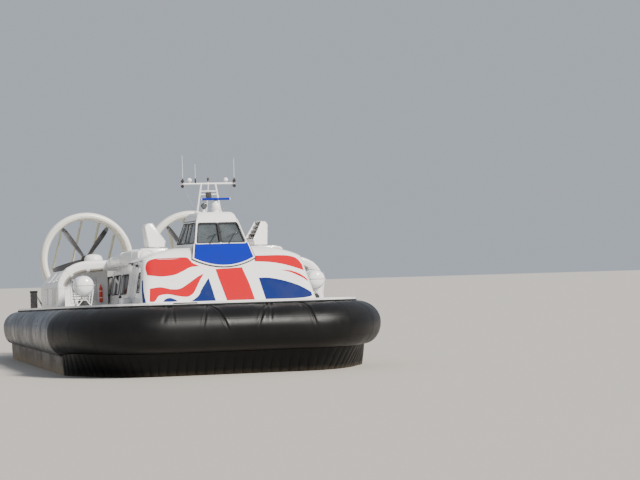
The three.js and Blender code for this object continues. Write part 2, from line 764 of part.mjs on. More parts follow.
const STAND_GAP = 8; // between a stand and what turns on it
const standProfile = [
  [0, HOUSE.top - 150],
  [60, HOUSE.top - 150],
  [60, SEARCHLIGHT.z - STAND_GAP],
  [0, SEARCHLIGHT.z - STAND_GAP],
];
const lampStand = turnedUp(standProfile, 12, SEARCHLIGHT.x, SEARCHLIGHT.y);
add("searchlight_stand", lampStand.subtract(houseBody(GAP)), "white");
const lamp = joined([
  turnedUp([[0, 0], [55, 0], [55, 40], [0, 40]], 12, 0, 0),
  bar([0, -110, 120], [0, 110, 120], 110, 14),
]);
add("searchlight", lamp, "dark", [SEARCHLIGHT.x, SEARCHLIGHT.y, SEARCHLIGHT.z]);

// Air trunks: an arch from the fan module over the raft, then along the roof edge to the thruster

function airTrunk() {
  const { bow, stern, outer, thick, top, crown } = ARCH;
  const side = [];
  const inner = [];
  for (const angle of steps(0, 90, 8)) {
    const turn = radians(angle);
    side.push([crown + (outer - crown) * Math.cos(turn), 3200 + (top - 3200) * Math.sin(turn)]);
    const reach = outer - thick - crown;
    inner.push([crown + reach * Math.cos(turn), 3150 + (top - 430 - 3150) * Math.sin(turn)]);
  }
  const foot = deckAt(bow) - 100;
  const outline = [
    [outer, foot],
    ...side,
    [3000, top + 10],
    [3000, top - 400],
    ...inner.reverse(),
    [outer - thick, foot],
  ];
  const underDeck = onDeck(box(2000, 6000, -4000, -2000, -600, GAP));
  const arch = toSolid(prism(outline, bow, stern, "y")).subtract(underDeck);
  const rings = TRUNK.map(([y, x, z, halfWidth, halfHeight]) =>
    steps(0, 330, 11).map((angle) => {
      const turn = radians(angle);
      const flat = (value) => Math.sign(value) * Math.abs(value) ** 0.6;
      return new THREE.Vector3(
        x + halfWidth * flat(Math.cos(turn)),
        y,
        z + halfHeight * flat(Math.sin(turn)),
      );
    }),
  );
  const { x, y, plinth } = THRUSTER;
  const base = onDeck(box(x - 400, x + 700, y - 700, y + 420, SHOULDER, ROOF_TOP + plinth));
  const trunk = joined([arch, toSolid(loft(rings)), base]);
  const roofEdge = deckBox(0, 3300, y - 720, y + 440, SHOULDER - 30, ROOF_TOP + plinth);
  const lip = toSolid(loft(rings)).intersect(roofEdge);
  return joined([trunk, lip]).subtract(cabinBody(GAP, -200));
}

// Swivelling elbow: its outlet faces +Y before it is turned, with level vanes across
function thruster() {
  const { height, lowHalf, highHalf, wall } = THRUSTER;
  const outline = [ // place along, height
    [-330, 30],
    [-430, 700],
    [-440, height - 120],
    [-360, height - 20],
    [-250, height],
    [-150, height],
    [330, 230],
    [300, 30],
  ];
  const cheeks = [
    [-lowHalf, 0],
    [lowHalf, 0],
    [highHalf, height + 50],
    [-highHalf, height + 50],
  ];
  const hollow = [
    [-330 + wall, -40],
    [-430 + wall, 700],
    [-440 + wall, height - 125],
    [-350, height - 20 - wall],
    [-250, height - wall],
    [200, height - wall],
    [700, 230 + wall],
    [700, 200],
    [300 - wall, 200],
    [300 - wall, -40],
  ];
  const innerCheeks = cheeks.map(([x, z]) => [x - Math.sign(x) * wall, z]);
  innerCheeks[0][1] = -60;
  innerCheeks[1][1] = -60;
  const outside = toSolid(prism(outline, -FAR, FAR, "x")).intersect(
    toSolid(prism(cheeks, -FAR, FAR, "y")),
  );
  const inside = toSolid(prism(hollow, -FAR, FAR, "x")).intersect(
    toSolid(prism(innerCheeks, -FAR, FAR, "y")),
  );
  const vanes = steps(300, height - 180, 3).map((z) => {
    const rear = -150 + ((height - z) / (height - 230)) * 480;
    const width = lowHalf - 10 - ((lowHalf - highHalf) * z) / (height + 50);
    return toSolid(box(-width, width, rear - 190, rear - 20, z - 9, z + 9));
  });
  const collar = turnedUp([[215, 0], [285, 0], [285, 45], [215, 45], [215, 0]], 20, 0, 0);
  const shell = outside.subtract(inside);
  return joined([shell, ...vanes, collar]);
}

const trunkSolid = airTrunk();
const thrusterSolid = thruster();
for (const [name, side] of [["port", 1], ["starboard", -1]]) {
  const throat = [[0, 4000], [200, 4000], [200, 6000], [0, 6000]];
  const hole = turnedUp(throat, 16, THRUSTER.x, THRUSTER.y);
  const trunk = trunkSolid.subtract(hole);
  add("air_trunk_" + name, side > 0 ? trunk : mirrored(trunk), "white");
  const seatZ = deckAt(THRUSTER.y - 700) + ROOF_TOP + THRUSTER.plinth + 10;
  const place = [side * THRUSTER.x, THRUSTER.y, seatZ];
  const elbow = add("bow_thruster_" + name, thrusterSolid, "white", place);
  elbow.rotation.z = radians(side * 90 + SWING[name]);
}

// Propeller ducts with their plinth, pylon and rudder brackets

const DUCT_SIDES = 40;
const ductProfile = [ // radius, place along
  [DUCT.bore + 60, DUCT.front + 60],
  [DUCT.bore + 165, DUCT.front],
  [DUCT.outer - 60, DUCT.front + 50],
  [DUCT.outer, DUCT.front + 240],
  [DUCT.outer - 20, DUCT.front + 600],
  [DUCT.outer - 200, DUCT.rear],
  [DUCT.bore + 80, DUCT.rear],
  [DUCT.bore, DUCT.front + 800],
  [DUCT.bore, DUCT.front + 250],
];

function rudderFrame(place, side) {
  const cant = radians(RUDDER.cant);
  const axis = new THREE.Vector3(-side * Math.sin(cant), 0, Math.cos(cant));
  const across = new THREE.Vector3(Math.cos(cant), 0, side * Math.sin(cant));
  const centre = new THREE.Vector3(side * DUCT.x, RUDDER.y, DUCT.z).addScaledVector(across, place);
  const reach = Math.sqrt(RUDDER.ends ** 2 - place ** 2);
  return { axis, centre, reach };
}

function duct(side) {
  const x = side * DUCT.x;
  const ring = turnedAlongY([...ductProfile, ductProfile[0]], DUCT_SIDES, x, DUCT.z);
  const plinth = onDeck(box(x - 900, x + 900, DUCT.front + 250, DUCT.rear - 150, GAP, 500));
  const boreProfile = [[0, 8000], [1900, 8000], [1900, 10000], [0, 10000]];
  const bore = turnedAlongY(boreProfile, DUCT_SIDES, x, DUCT.z);
  const nacelleProfile = [
    [0, PROP.y + 120],
    [190, PROP.y + 120],
    [190, 9300],
    [140, 9560],
    [0, 9640],
  ];
  const nacelle = turnedAlongY(nacelleProfile, 12, x, DUCT.z);
  const lens = [
    [0, PROP.y + 170],
    [95, PROP.y + 300],
    [95, PROP.y + 500],
    [0, PROP.y + 800],
    [-95, PROP.y + 500],
    [-95, PROP.y + 300],
  ].map(([across, along]) => [x + across, along]);
  const pylon = toSolid(prism(lens, deckAt(9500) + 60, DUCT.z, "z"));
  const brackets = RUDDER_PLACES.flatMap((place) => {
    const { axis, centre, reach } = rudderFrame(place, side);
    return [-1, 1].map((end) => {
      const block = new THREE.BoxGeometry(130, 470, RUDDER.bracket);
      block.rotateY(Math.atan2(axis.x, axis.z));
      const at = centre.clone().addScaledVector(axis, end * reach);
      const inner = centre.clone().addScaledVector(axis, end * (reach - 40));
      const outer = centre.clone().addScaledVector(axis, end * (reach + 40));
      const hole = bar(inner.toArray(), outer.toArray(), RUDDER.pin + 8, 10);
      return toSolid(block.translate(at.x, at.y - 140, at.z)).subtract(hole);
    });
  });
  return joined([ring, plinth.subtract(bore), nacelle, pylon, ...brackets]);
}

// Blade sections are lens shapes, turned more towards the hub
function propeller() {
  const hub = turnedAlongY(
    [[0, -360], [80, -330], [150, -200], [190, 0], [190, 100], [0, 100]],
    14,
    0,
    0,
  );
  const pieces = [hub];
  for (let i = 0; i < PROP.blades; i++) {
    const rings = BLADE.map(([radius, chord, thick, twist]) => {
      const turn = radians(twist);
      const lens = [
        [-0.5, 0],
        [-0.2, 0.42],
        [0.15, 0.5],
        [0.5, 0],
        [0.15, -0.5],
        [-0.2, -0.42],
      ];
      return lens.map(([a, b]) => {
        const along = a * chord;
        const off = b * thick;
        return new THREE.Vector3(
          along * Math.cos(turn) - off * Math.sin(turn),
          along * Math.sin(turn) + off * Math.cos(turn),
          radius,
        );
      });
    });
    const angle = PROP.first + (360 / PROP.blades) * i;
    pieces.push(toSolid(loft(rings).rotateY(radians(90 - angle))));
  }
  return joined(pieces);
}

// Upright lens section, with a pin at each end
function rudder(place) {
  const reach = Math.sqrt(RUDDER.ends ** 2 - place ** 2);
  const half = reach - RUDDER.bracket / 2 - 12;
  const { chord, nose, thick, pin } = RUDDER;
  const outline = [
    [0, -nose],
    [thick / 2, -nose / 3],
    [thick / 2, chord * 0.2],
    [6, chord - nose],
    [-6, chord - nose],
    [-thick / 2, chord * 0.2],
    [-thick / 2, -nose / 3],
  ];
  const blade = toSolid(prism(outline, -half, half, "z"));
  return joined([blade, bar([0, 0, -reach - 20], [0, 0, reach + 20], pin, 8)]);
}

const propellerSolid = propeller();
for (const [name, side] of [["port", 1], ["starboard", -1]]) {
  add("duct_" + name, duct(side), "cream");
  add("propeller_" + name, propellerSolid, "dark", [side * DUCT.x, PROP.y, DUCT.z]);
  RUDDER_PLACES.forEach((place, i) => {
    const { axis, centre } = rudderFrame(place, side);
    const number = side > 0 ? 4 - i : i + 1; // counted from the outside inwards on both sides
    const blade = add("rudder_" + name + "_" + number, rudder(place), "cream", centre.toArray());
    blade.rotation.y = Math.atan2(axis.x, axis.z);
  });
}

// Fan and engine modules beside and behind the cabin

function fanModule() {
  const outside = onDeck(prism(MODULE_OUTLINE, MODULE.bow, MODULE.stern, "y"));
  const rear = [
    [MODULE.inner, 0],
    [4560, 0],
    [4560, 950],
    [4350, 1180],
    [MODULE.inner, 1180],
  ];
  const tail = onDeck(prism(rear, MODULE.stern - 50, MODULE.tail, "y"));
  const room = [
    [MODULE.inner + 60, 60],
    [4500, 60],
    [4500, 920],
    [4320, 1120],
    [MODULE.inner + 60, 1120],
  ];
  const inside = onDeck(prism(room, MODULE.stern + 100, MODULE.tail - 60, "y"));
  const vent = deckBox(3600, 4200, 5700, 6500, 900, 1400);
  const intake = deckBox(3700, 4700, MODULE.bow - 100, MODULE.bow + 500, 250, 1150);
  const cowl = turnedUp(
    [[0, 3600], [360, 3600], [360, 4230], [330, 4350], [240, 4430], [100, 4465], [0, 4470]],
    24,
    3750,
    -2150,
  );
  const underDeck = onDeck(box(2000, 6000, -4000, 8000, -3000, GAP));
  const whole = joined([outside, tail]).add(cowl).subtract(underDeck);
  return whole.subtract(joined([inside, vent, intake]));
}

const RAFT_SIDES = 18;

function liferaft() {
  const { x, bow, stern, z, radius } = RAFT;
  const profile = [
    [0, bow],
    [200, bow + 30],
    [330, bow + 130],
    [radius, bow + 300],
    [radius, stern - 300],
    [330, stern - 130],
    [200, stern - 30],
    [0, stern],
  ];
  return turnedAlongY(profile, RAFT_SIDES, x, z);
}

function raftCradle() {
  const { x, bow, stern, z, radius } = RAFT;
  const pieces = [];
  for (const y of [bow + 330, stern - 330]) {
    const foot = deckAt(y) + 40;
    const outline = [
      [x - 300, foot],
      [x + 300, foot],
      [x + 360, z - 60],
      [x - 360, z - 60],
    ];
    pieces.push(toSolid(prism(outline, y - 35, y + 35, "y")));
  }
  for (const side of [-1, 1]) {
    const centre = x + side * 250;
    pieces.push(onDeck(box(centre - 40, centre + 40, bow + 150, stern - 150, GAP, 80)));
  }
  const reach = radius + 4;
  const around = [[0, bow - 200], [reach, bow - 200], [reach, stern + 200], [0, stern + 200]];
  return joined(pieces).subtract(turnedAlongY(around, RAFT_SIDES, x, z));
}

function fenderBoard() {
  const { x, y, width, thick, height } = BOARD;
  const edge = x - width / 2;
  const pieces = [
    onDeck(box(edge, x + width / 2, y - thick / 2, y + thick / 2, GAP, height)),
    onDeck(box(edge - 40, x + width / 2 + 40, y - 70, y + 70, GAP, 30)),
  ];
  for (const [inboard, along] of [[300, 0], [260, 240]]) { // how far off each strut's foot is
    const foot = [edge - inboard, y + along];
    pieces.push(bar([edge + 20, y, deckAt(y) + 600], [...foot, deckAt(y + along) + 50], 22));
    const plate = [foot[0] - 60, foot[0] + 60, foot[1] - 50, foot[1] + 50];
    pieces.push(onDeck(box(...plate, GAP, 80)));
  }
  return joined(pieces);
}

const moduleSolid = fanModule();
const raftSolid = liferaft();
const cradleSolid = raftCradle();
const boardSolid = fenderBoard();
const engineBox = [ENGINE.x - ENGINE.half, ENGINE.x + ENGINE.half, ENGINE.bow, ENGINE.stern];
const engineSolid = onDeck(box(...engineBox, 60 + GAP, ENGINE.height));
for (const [name, side] of [["port", 1], ["starboard", -1]]) {
  const place = (solid) => (side > 0 ? solid : mirrored(solid));
  add("fan_module_" + name, place(moduleSolid), "white");
  add("engine_block_" + name, place(engineSolid), "grey");
  add("life_raft_" + name, place(raftSolid), "white");
  add("raft_cradle_" + name, place(cradleSolid), "white");
  add("fender_board_" + name, place(boardSolid), "grey");
}

// Low casing on the deck behind the cabin
const casing = [
  [-1300, 0],
  [1300, 0],
  [1300, 900],
  [1000, 1150],
  [-1000, 1150],
  [-1300, 900],
];
const casingSolid = onDeck(prism(casing, CABIN.rear + 900, MODULE.tail, "y"));
const casingFoot = onDeck(box(-2000, 2000, 0, 8000, -600, GAP));
add("aft_casing", casingSolid.subtract(casingFoot), "white");

export default craft;
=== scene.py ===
# %% [markdown]
# # A passenger hovercraft, dressed around its CAD frame
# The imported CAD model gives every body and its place. Each cell makes one piece of the
# craft as a real yard would see it, and lets it ride on the body that carries it.
# Sizes are in metres: the bow points to -Y, port is +X, and the ground is Z = 0.

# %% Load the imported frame
import json
import math
import bmesh
import bpy
import numpy as np
from mathutils import Matrix, Vector


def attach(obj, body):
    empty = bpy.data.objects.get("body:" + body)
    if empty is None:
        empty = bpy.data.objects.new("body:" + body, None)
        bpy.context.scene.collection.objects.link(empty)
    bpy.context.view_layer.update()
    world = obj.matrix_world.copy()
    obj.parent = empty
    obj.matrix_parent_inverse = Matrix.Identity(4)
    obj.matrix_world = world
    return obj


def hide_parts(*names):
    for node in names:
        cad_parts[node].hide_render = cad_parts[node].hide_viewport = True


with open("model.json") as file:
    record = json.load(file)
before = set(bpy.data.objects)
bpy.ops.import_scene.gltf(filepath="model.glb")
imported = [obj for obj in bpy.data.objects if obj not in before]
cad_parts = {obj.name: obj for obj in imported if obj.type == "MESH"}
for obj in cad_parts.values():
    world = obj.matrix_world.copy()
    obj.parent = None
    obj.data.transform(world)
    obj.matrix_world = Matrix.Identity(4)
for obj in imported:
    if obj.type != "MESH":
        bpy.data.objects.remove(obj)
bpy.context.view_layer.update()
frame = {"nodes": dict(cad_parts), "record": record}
SIDES = (("port", 1), ("starboard", -1))

# %% [markdown]
# ## The camera
# The photo was taken from far away with a long lens, a little to starboard of the bow.
# A camera fitted to the ducts, the deck and the skirt gives its place and its three
# turns: yaw to the right, pitch up, and a small roll. A camera aimed at the middle
# would lose that roll, so the view's axes are worked out and put in a matrix.

# %% Camera
YAW, PITCH, ROLL = (math.radians(v) for v in (15.405, 0.696, -1.556))
CAMERA_PLACE = (-15.902, -79.891, 3.833)
FOCAL_PIXELS, PHOTO_WIDTH, SENSOR = 1986.3, 640, 36
level = Vector((math.cos(YAW), -math.sin(YAW), 0))
ahead = Vector((math.sin(YAW) * math.cos(PITCH), math.cos(YAW) * math.cos(PITCH), math.sin(PITCH)))
above = level.cross(ahead)
right = level * math.cos(ROLL) + above * math.sin(ROLL)
up = above * math.cos(ROLL) - level * math.sin(ROLL)
camera = bpy.data.objects.new("camera", bpy.data.cameras.new("camera"))
bpy.context.scene.collection.objects.link(camera)
aim = Matrix((right, up, -ahead)).transposed().to_4x4()
aim.translation = Vector(CAMERA_PLACE)
camera.matrix_world = aim
camera.data.lens = FOCAL_PIXELS / PHOTO_WIDTH * SENSOR
camera.data.clip_end = 1000
bpy.context.scene.camera = camera
print("lens", round(camera.data.lens, 1), "mm")

# %% [markdown]
# ## Shapes from arrays
# Every new piece is a grid of points worked out with numpy, or a profile carried along a
# path. A shape is a pair of arrays, its points and its faces, so that many small shapes
# can be joined in one mesh. Primitives from Blender's menus would be quicker to add, but
# their sizes would hide in operators instead of in the formulas.

# %% Grids
def xyz(*parts):
    """Points from their coordinates, each a number or an array."""
    return np.stack(np.broadcast_arrays(*parts), -1)


def grid(points, wrap_u=False, wrap_v=False, capped=False):
    """Surface through points[u, v]: each quad joins (u, v), (u+1, v), (u+1, v+1), (u, v+1).
    Wrapping joins the last row to the first. Caps close the first and last row of a tube."""
    rows, cols = points.shape[:2]
    i, j = np.meshgrid(np.arange(rows - (not wrap_u)), np.arange(cols - (not wrap_v)), indexing="ij")
    i2, j2 = (i + 1) % rows, (j + 1) % cols
    faces = xyz(i * cols + j, i2 * cols + j, i2 * cols + j2, i * cols + j2).reshape(-1, 4).tolist()
    if capped:
        faces += [list(range(cols))[::-1], list(range((rows - 1) * cols, rows * cols))]
    return points.reshape(-1, 3), faces


def skin(rings):
    """Closed tube through rings of points, with a cap at each end."""
    return grid(np.asarray(rings, float), wrap_v=True, capped=True)


def joined(shapes):
    """One shape from several: points one after another, faces counted on from there."""
    points, faces, start = [], [], 0
    for p, f in shapes:
        points.append(np.asarray(p, float))
        faces += [[k + start for k in face] for face in f]
        start += len(p)
    return np.concatenate(points), faces


def mirrored(shape):
    """The shape on the other side of the craft: x changes sign, and faces turn round."""
    return shape[0] * (-1, 1, 1), [face[::-1] for face in shape[1]]


def twice(*shapes):
    """The shapes on port, and their mirror images to starboard."""
    return [*shapes, *map(mirrored, shapes)]


def mm(*numbers):
    """Points of a drawn profile, given as pairs of millimetres."""
    return np.reshape(numbers, (-1, 2)) / 1000


def moved(shape, offset):
    return shape[0] + np.asarray(offset, float), shape[1]


print("grid of 3 x 4 points has", len(grid(np.zeros((3, 4, 3)))[1]), "faces")

# %% Tubes, turned shapes and plates
def unit(v):
    v = np.asarray(v, float)
    return v / np.linalg.norm(v, axis=-1, keepdims=True)


def circle(count):
    """Even turn in radians, without its end."""
    return np.linspace(0, 2 * np.pi, count, endpoint=False)


def tube(path, radius, sides=10, closed=False):
    """Circle of the given radius, or radii, carried along a path, square to its direction."""
    path = np.asarray(path, float)
    way = unit(np.roll(path, -1, 0) - np.roll(path, 1, 0) if closed else np.gradient(path, axis=0))
    side = unit(np.cross(way, np.eye(3)[np.argmin(np.abs(way).sum(0))]))
    other, turn = np.cross(way, side), circle(sides)
    size = np.broadcast_to(radius, len(path))[:, None, None]
    ring = side[:, None] * np.cos(turn)[:, None] + other[:, None] * np.sin(turn)[:, None]
    return grid(path[:, None] + size * ring, wrap_u=closed, wrap_v=True, capped=not closed)


def rod(start, end, radius, sides=12):
    """Straight bar whose two ends are chamfered by a quarter of its radius."""
    start, end = np.asarray(start, float), np.asarray(end, float)
    cut = radius / 4 / np.linalg.norm(end - start)
    places = np.array([0, cut, 1 - cut, 1])[:, None]
    return tube(start + (end - start) * places, radius * np.array([0.75, 1, 1, 0.75]), sides)


def turned(profile, centre, axis="z", sides=48, closed=False):
    """Profile of (radius, along) rows turned about an axis through the centre."""
    profile, turn = np.asarray(profile, float), circle(sides)
    a, b, c = profile[:, :1] * np.cos(turn), profile[:, :1] * np.sin(turn), profile[:, 1:]
    points = xyz(*{"x": (c, a, b), "y": (b, c, a), "z": (a, b, c)}[axis]) + np.asarray(centre, float)
    return grid(points, wrap_u=closed, wrap_v=True, capped=not closed)


def corner_ring(xs, ys, radius, steps, first=0.0):
    """Four quarter circles about the given centres, anticlockwise from a turn in half circles."""
    turn = np.concatenate([np.linspace(q, q + 0.5, steps) for q in first + np.arange(0, 2, 0.5)]) * np.pi
    return xyz(np.repeat(xs, steps) + radius * np.cos(turn), np.repeat(ys, steps) + radius * np.sin(turn))


def rounded(width, height, radius, steps=5):
    """Rectangle about the origin with rounded corners, going round anticlockwise."""
    x, y = width / 2 - radius, height / 2 - radius
    return corner_ring((x, -x, -x, x), (y, y, -y, -y), radius, steps)


def rectangle(x0, x1, y0, y1):
    return np.array([(x0, y0), (x1, y0), (x1, y1), (x0, y1)])


def inset(outline, distance):
    """Outline moved inwards: each corner goes along the bisector of its two sides."""
    ahead, back = np.roll(outline, -1, 0) - outline, outline - np.roll(outline, 1, 0)
    n, m = (unit(xyz(-way[:, 1], way[:, 0])) for way in (ahead, back))
    return outline + distance * (n + m) / np.maximum(1 + (n * m).sum(-1, keepdims=True), 0.3)


def wall_at(along, up, start):
    """Frame of a flat wall: the ways along it, up it and out of it, and where it starts."""
    up = unit(up)
    return np.array([along, up, np.cross(along, up)]), np.array(start)


def on_wall(wall, points):
    return np.asarray(points) @ wall[0] + wall[1]


FLOOR_WALL = wall_at((1, 0, 0), (0, 1, 0), (0, 0, 0))


def plate(outline, low, high, wall=FLOOR_WALL, edge=0.01, hollow=None):
    """Anticlockwise outline carried out of the wall from low to high, with its edges
    bevelled. A second outline with as many corners makes it a frame with a hole."""
    edge = min(edge, (high - low) / 2.5)
    rows = [(low, edge), (low + edge, 0), (high - edge, 0), (high, edge)]
    lines = [(np.asarray(outline, float), rows, 1)]
    if hollow is not None:
        lines.append((np.asarray(hollow, float), rows[::-1], -1))
    rings = [np.column_stack([inset(line, way * cut), np.full(len(line), at)])
             for line, places, way in lines for at, cut in places]
    points, faces = grid(np.stack(rings), wrap_u=hollow is not None, wrap_v=True, capped=hollow is None)
    return on_wall(wall, points), faces


def block(low, high, edge=0.02, radius=0.03):
    """Upright box between two corners, with rounded upright edges and bevelled rims."""
    low, high = np.asarray(low, float), np.asarray(high, float)
    width, depth = (high - low)[:2]
    outline = rounded(width, depth, min(radius, width / 2.1, depth / 2.1), 4) + (low + high)[:2] / 2
    return plate(outline, low[2], high[2], edge=edge)


def soft_corners(corners, radius, steps=6):
    """Each corner becomes the curve (1-t)^2 A + 2t(1-t) P + t^2 B, with A and B on its sides."""
    corners = np.asarray(corners, float)
    a, b = (corners + radius * unit(np.roll(corners, way, 0) - corners) for way in (1, -1))
    t = np.linspace(0, 1, steps)[None, :, None]
    return ((1 - t) ** 2 * a[:, None] + 2 * t * (1 - t) * corners[:, None] + t**2 * b[:, None]).reshape(-1, 2)


print("plate faces", len(plate(rounded(1, 1, 0.1), 0, 0.1)[1]))

# %% [markdown]
# ## From shape to piece
# A bevelled edge stays sharp because it is above the angle. `pair` does so on port and
# starboard, since nearly all of the craft is symmetric.

# %% Make a piece
def piece(name, shape, material, body="craft", replaces=(), slot="own", smooth=35):
    """Puts one shape, or a list of them, on a body."""
    points, faces = joined(shape) if isinstance(shape, list) else shape
    mesh = bpy.data.meshes.new(name)
    mesh.from_pydata(np.round(points, 5).tolist(), [], faces)
    solid = bmesh.new()
    solid.from_mesh(mesh)
    bmesh.ops.remove_doubles(solid, verts=solid.verts, dist=0.0002)
    bmesh.ops.dissolve_degenerate(solid, edges=solid.edges, dist=0.0001)
    bmesh.ops.recalc_face_normals(solid, faces=solid.faces)
    solid.to_mesh(mesh)
    solid.free()
    mesh.shade_smooth()
    mesh.set_sharp_from_angle(angle=math.radians(smooth))
    made = bpy.data.objects.new(name, mesh)
    bpy.context.scene.collection.objects.link(made)
    made.data.materials.append(material)
    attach(made, body)
    slot = SLOT_OF.get(material.name) if slot == "own" else slot
    if replaces:
        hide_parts(*replaces)
    print(name, len(mesh.polygons), "faces")
    return made


def pair(name, shape, material, replaces="", body="", slot="own", smooth=35):
    """Piece name_port, and name_starboard as its mirror image."""
    shape = joined(shape) if isinstance(shape, list) else shape
    return [piece(f"{name}_{side}", each, material, f"{body}_{side}" if body else "craft",
                  [f"{replaces}_{side}"] if replaces else (), slot, smooth)
            for (side, _), each in zip(SIDES, (shape, mirrored(shape)))]


DECK_FALL, DECK_BOW = 0.0215, (-10.918, 2.554)
deck_z = lambda y: DECK_BOW[1] - DECK_FALL * (np.asarray(y) - DECK_BOW[0])


def on_deck(shape):
    """Heights above the sloping deck become heights above the ground."""
    points, faces = joined(shape) if isinstance(shape, list) else shape
    return points + deck_z(points[:, 1])[:, None] * (0, 0, 1), faces


print("deck height amidships", round(float(deck_z(0)), 3))

# %% [markdown]
# ## Finishes
# Five effects turn up on many finishes, so each is a node group with its own inputs:
# uneven paint, rain streaks, worn edges, sand dust near the ground, and a woven surface.
# Painting a texture by hand would give more control, but a formula in object
# coordinates has no seams and no size limit, and it stays put when a part turns.

# %% A short way to write nodes
def feed(tree, socket, value):
    """Links the socket if the value is a socket too, or else sets it."""
    if isinstance(value, bpy.types.NodeSocket):
        tree.links.new(value, socket)
    else:
        socket.default_value = value


def node(tree, kind, inputs=None, **settings):
    made = tree.nodes.new("ShaderNode" + kind)
    for key, value in settings.items():
        setattr(made, key, value)
    for key, value in (inputs or {}).items():
        feed(tree, made.inputs[key], value)
    return made


def maths(tree, operation, *values, clamp=False):
    return node(tree, "Math", dict(enumerate(values)), operation=operation, use_clamp=clamp).outputs[0]


def product(tree, *values):
    return maths(tree, "MULTIPLY", *values)


def noise(tree, place, scale, detail, **more):
    return node(tree, "TexNoise", {"Vector": place, "Scale": scale, "Detail": detail, **more}).outputs[0]


def ramp(tree, value, low, high, out_low=0.0, out_high=1.0):
    """Smooth step from one value to another between two limits."""
    numbers = {"Value": value, "From Min": low, "From Max": high, "To Min": out_low, "To Max": out_high}
    return node(tree, "MapRange", numbers, interpolation_type="SMOOTHSTEP").outputs[0]


def mixed(tree, part, first, second):
    return node(tree, "Mix", {"Factor": part, 6: first, 7: second}, data_type="RGBA").outputs[2]


def group(name, inputs, outputs):
    """Empty node group with float inputs and the named outputs, ready to be filled."""
    tree = bpy.data.node_groups.new(name, "ShaderNodeTree")
    for key, value in inputs.items():
        tree.interface.new_socket(key, in_out="INPUT", socket_type="NodeSocketFloat").default_value = value
    for key in outputs:
        tree.interface.new_socket(key, in_out="OUTPUT", socket_type="NodeSocketFloat")
    enter, leave = tree.nodes.new("NodeGroupInput"), tree.nodes.new("NodeGroupOutput")
    return tree, enter.outputs, leave.inputs, node(tree, "TexCoord").outputs["Object"]


def use(tree, name, **inputs):
    made = tree.nodes.new("ShaderNodeGroup")
    made.node_tree = bpy.data.node_groups[name]
    for key, value in inputs.items():
        made.inputs[key].default_value = value
    return made.outputs


print("node helpers ready")

# %% Uneven paint: large soft patches and a fine orange peel
tree, given, out, place = group("uneven", {"Patch": 0.8, "Fine": 60.0}, ["Patches", "Peel"])
patch = noise(tree, place, given["Patch"], 5.0, Roughness=0.6)
feed(tree, out["Patches"], ramp(tree, patch, 0.3, 0.7))
feed(tree, out["Peel"], noise(tree, place, given["Fine"], 3.0))

# %% Rain streaks: noise drawn out downwards, broken up by a larger noise
tree, given, out, place = group("streaks", {"Width": 14.0, "Amount": 0.5}, ["Mask"])
drawn = node(tree, "Mapping", {"Vector": place, "Scale": (1.0, 1.0, 0.06)}).outputs[0]
lines = ramp(tree, noise(tree, drawn, given["Width"], 4.0), 0.5, 0.75)
broken = ramp(tree, noise(tree, place, 1.3, 3.0), 0.4, 0.65)
feed(tree, out["Mask"], product(tree, product(tree, lines, broken), given["Amount"]))

# %% Worn edges: where a rounded normal leaves the true one, broken by noise
tree, given, out, place = group("worn edges", {"Radius": 0.012, "Amount": 0.6}, ["Mask"])
soft = node(tree, "Bevel", {"Radius": given["Radius"]}, samples=4).outputs[0]
true = node(tree, "NewGeometry").outputs["Normal"]
same = node(tree, "VectorMath", {0: soft, 1: true}, operation="DOT_PRODUCT").outputs["Value"]
chips = ramp(tree, noise(tree, place, 9.0, 6.0), 0.48, 0.62)
feed(tree, out["Mask"], product(tree, product(tree, ramp(tree, same, 0.985, 0.9), chips), given["Amount"]))

# %% Sand dust: thick at the ground, gone at a height, patchy between
tree, given, out, place = group("sand dust", {"Height": 1.0, "Amount": 0.7}, ["Mask"])
high = node(tree, "SeparateXYZ", {0: place}).outputs["Z"]
cloud = product(tree, noise(tree, place, 3.5, 7.0, Roughness=0.65), 0.9)
edge = maths(tree, "ADD", maths(tree, "DIVIDE", high, given["Height"]), cloud)
feed(tree, out["Mask"], product(tree, ramp(tree, edge, 1.15, 0.35), given["Amount"]))

# %% Weave: two crossed waves, high where a thread passes over
tree, given, out, place = group("weave", {"Threads": 120.0}, ["Height"])
parts = node(tree, "SeparateXYZ", {0: place}).outputs
along = maths(tree, "ADD", parts["Y"], product(tree, parts["X"], 0.7))
warp, weft = (maths(tree, "SINE", product(tree, way, given["Threads"])) for way in (along, parts["Z"]))
feed(tree, out["Height"], product(tree, warp, weft))
print("groups", [g.name for g in bpy.data.node_groups])

# %% [markdown]
# ## One recipe for paint, rubber and plastic
# Every opaque finish is the same sum: a colour, a second shade in soft patches, dirt in
# streaks, bare metal on worn edges, dust from below, and a fine bump. Only the numbers
# differ, so one function builds them all from a row of a table.

# %% Opaque finishes
GRIME, SAND = (0.2, 0.17, 0.13, 1), (0.42, 0.33, 0.22, 1)


def new_material(name, **settings):
    made = bpy.data.materials.new(name)
    made.use_nodes = True
    shader = made.node_tree.nodes["Principled BSDF"].inputs
    for key, value in settings.items():
        shader[key.replace("_", " ")].default_value = value
    return made, made.node_tree, shader


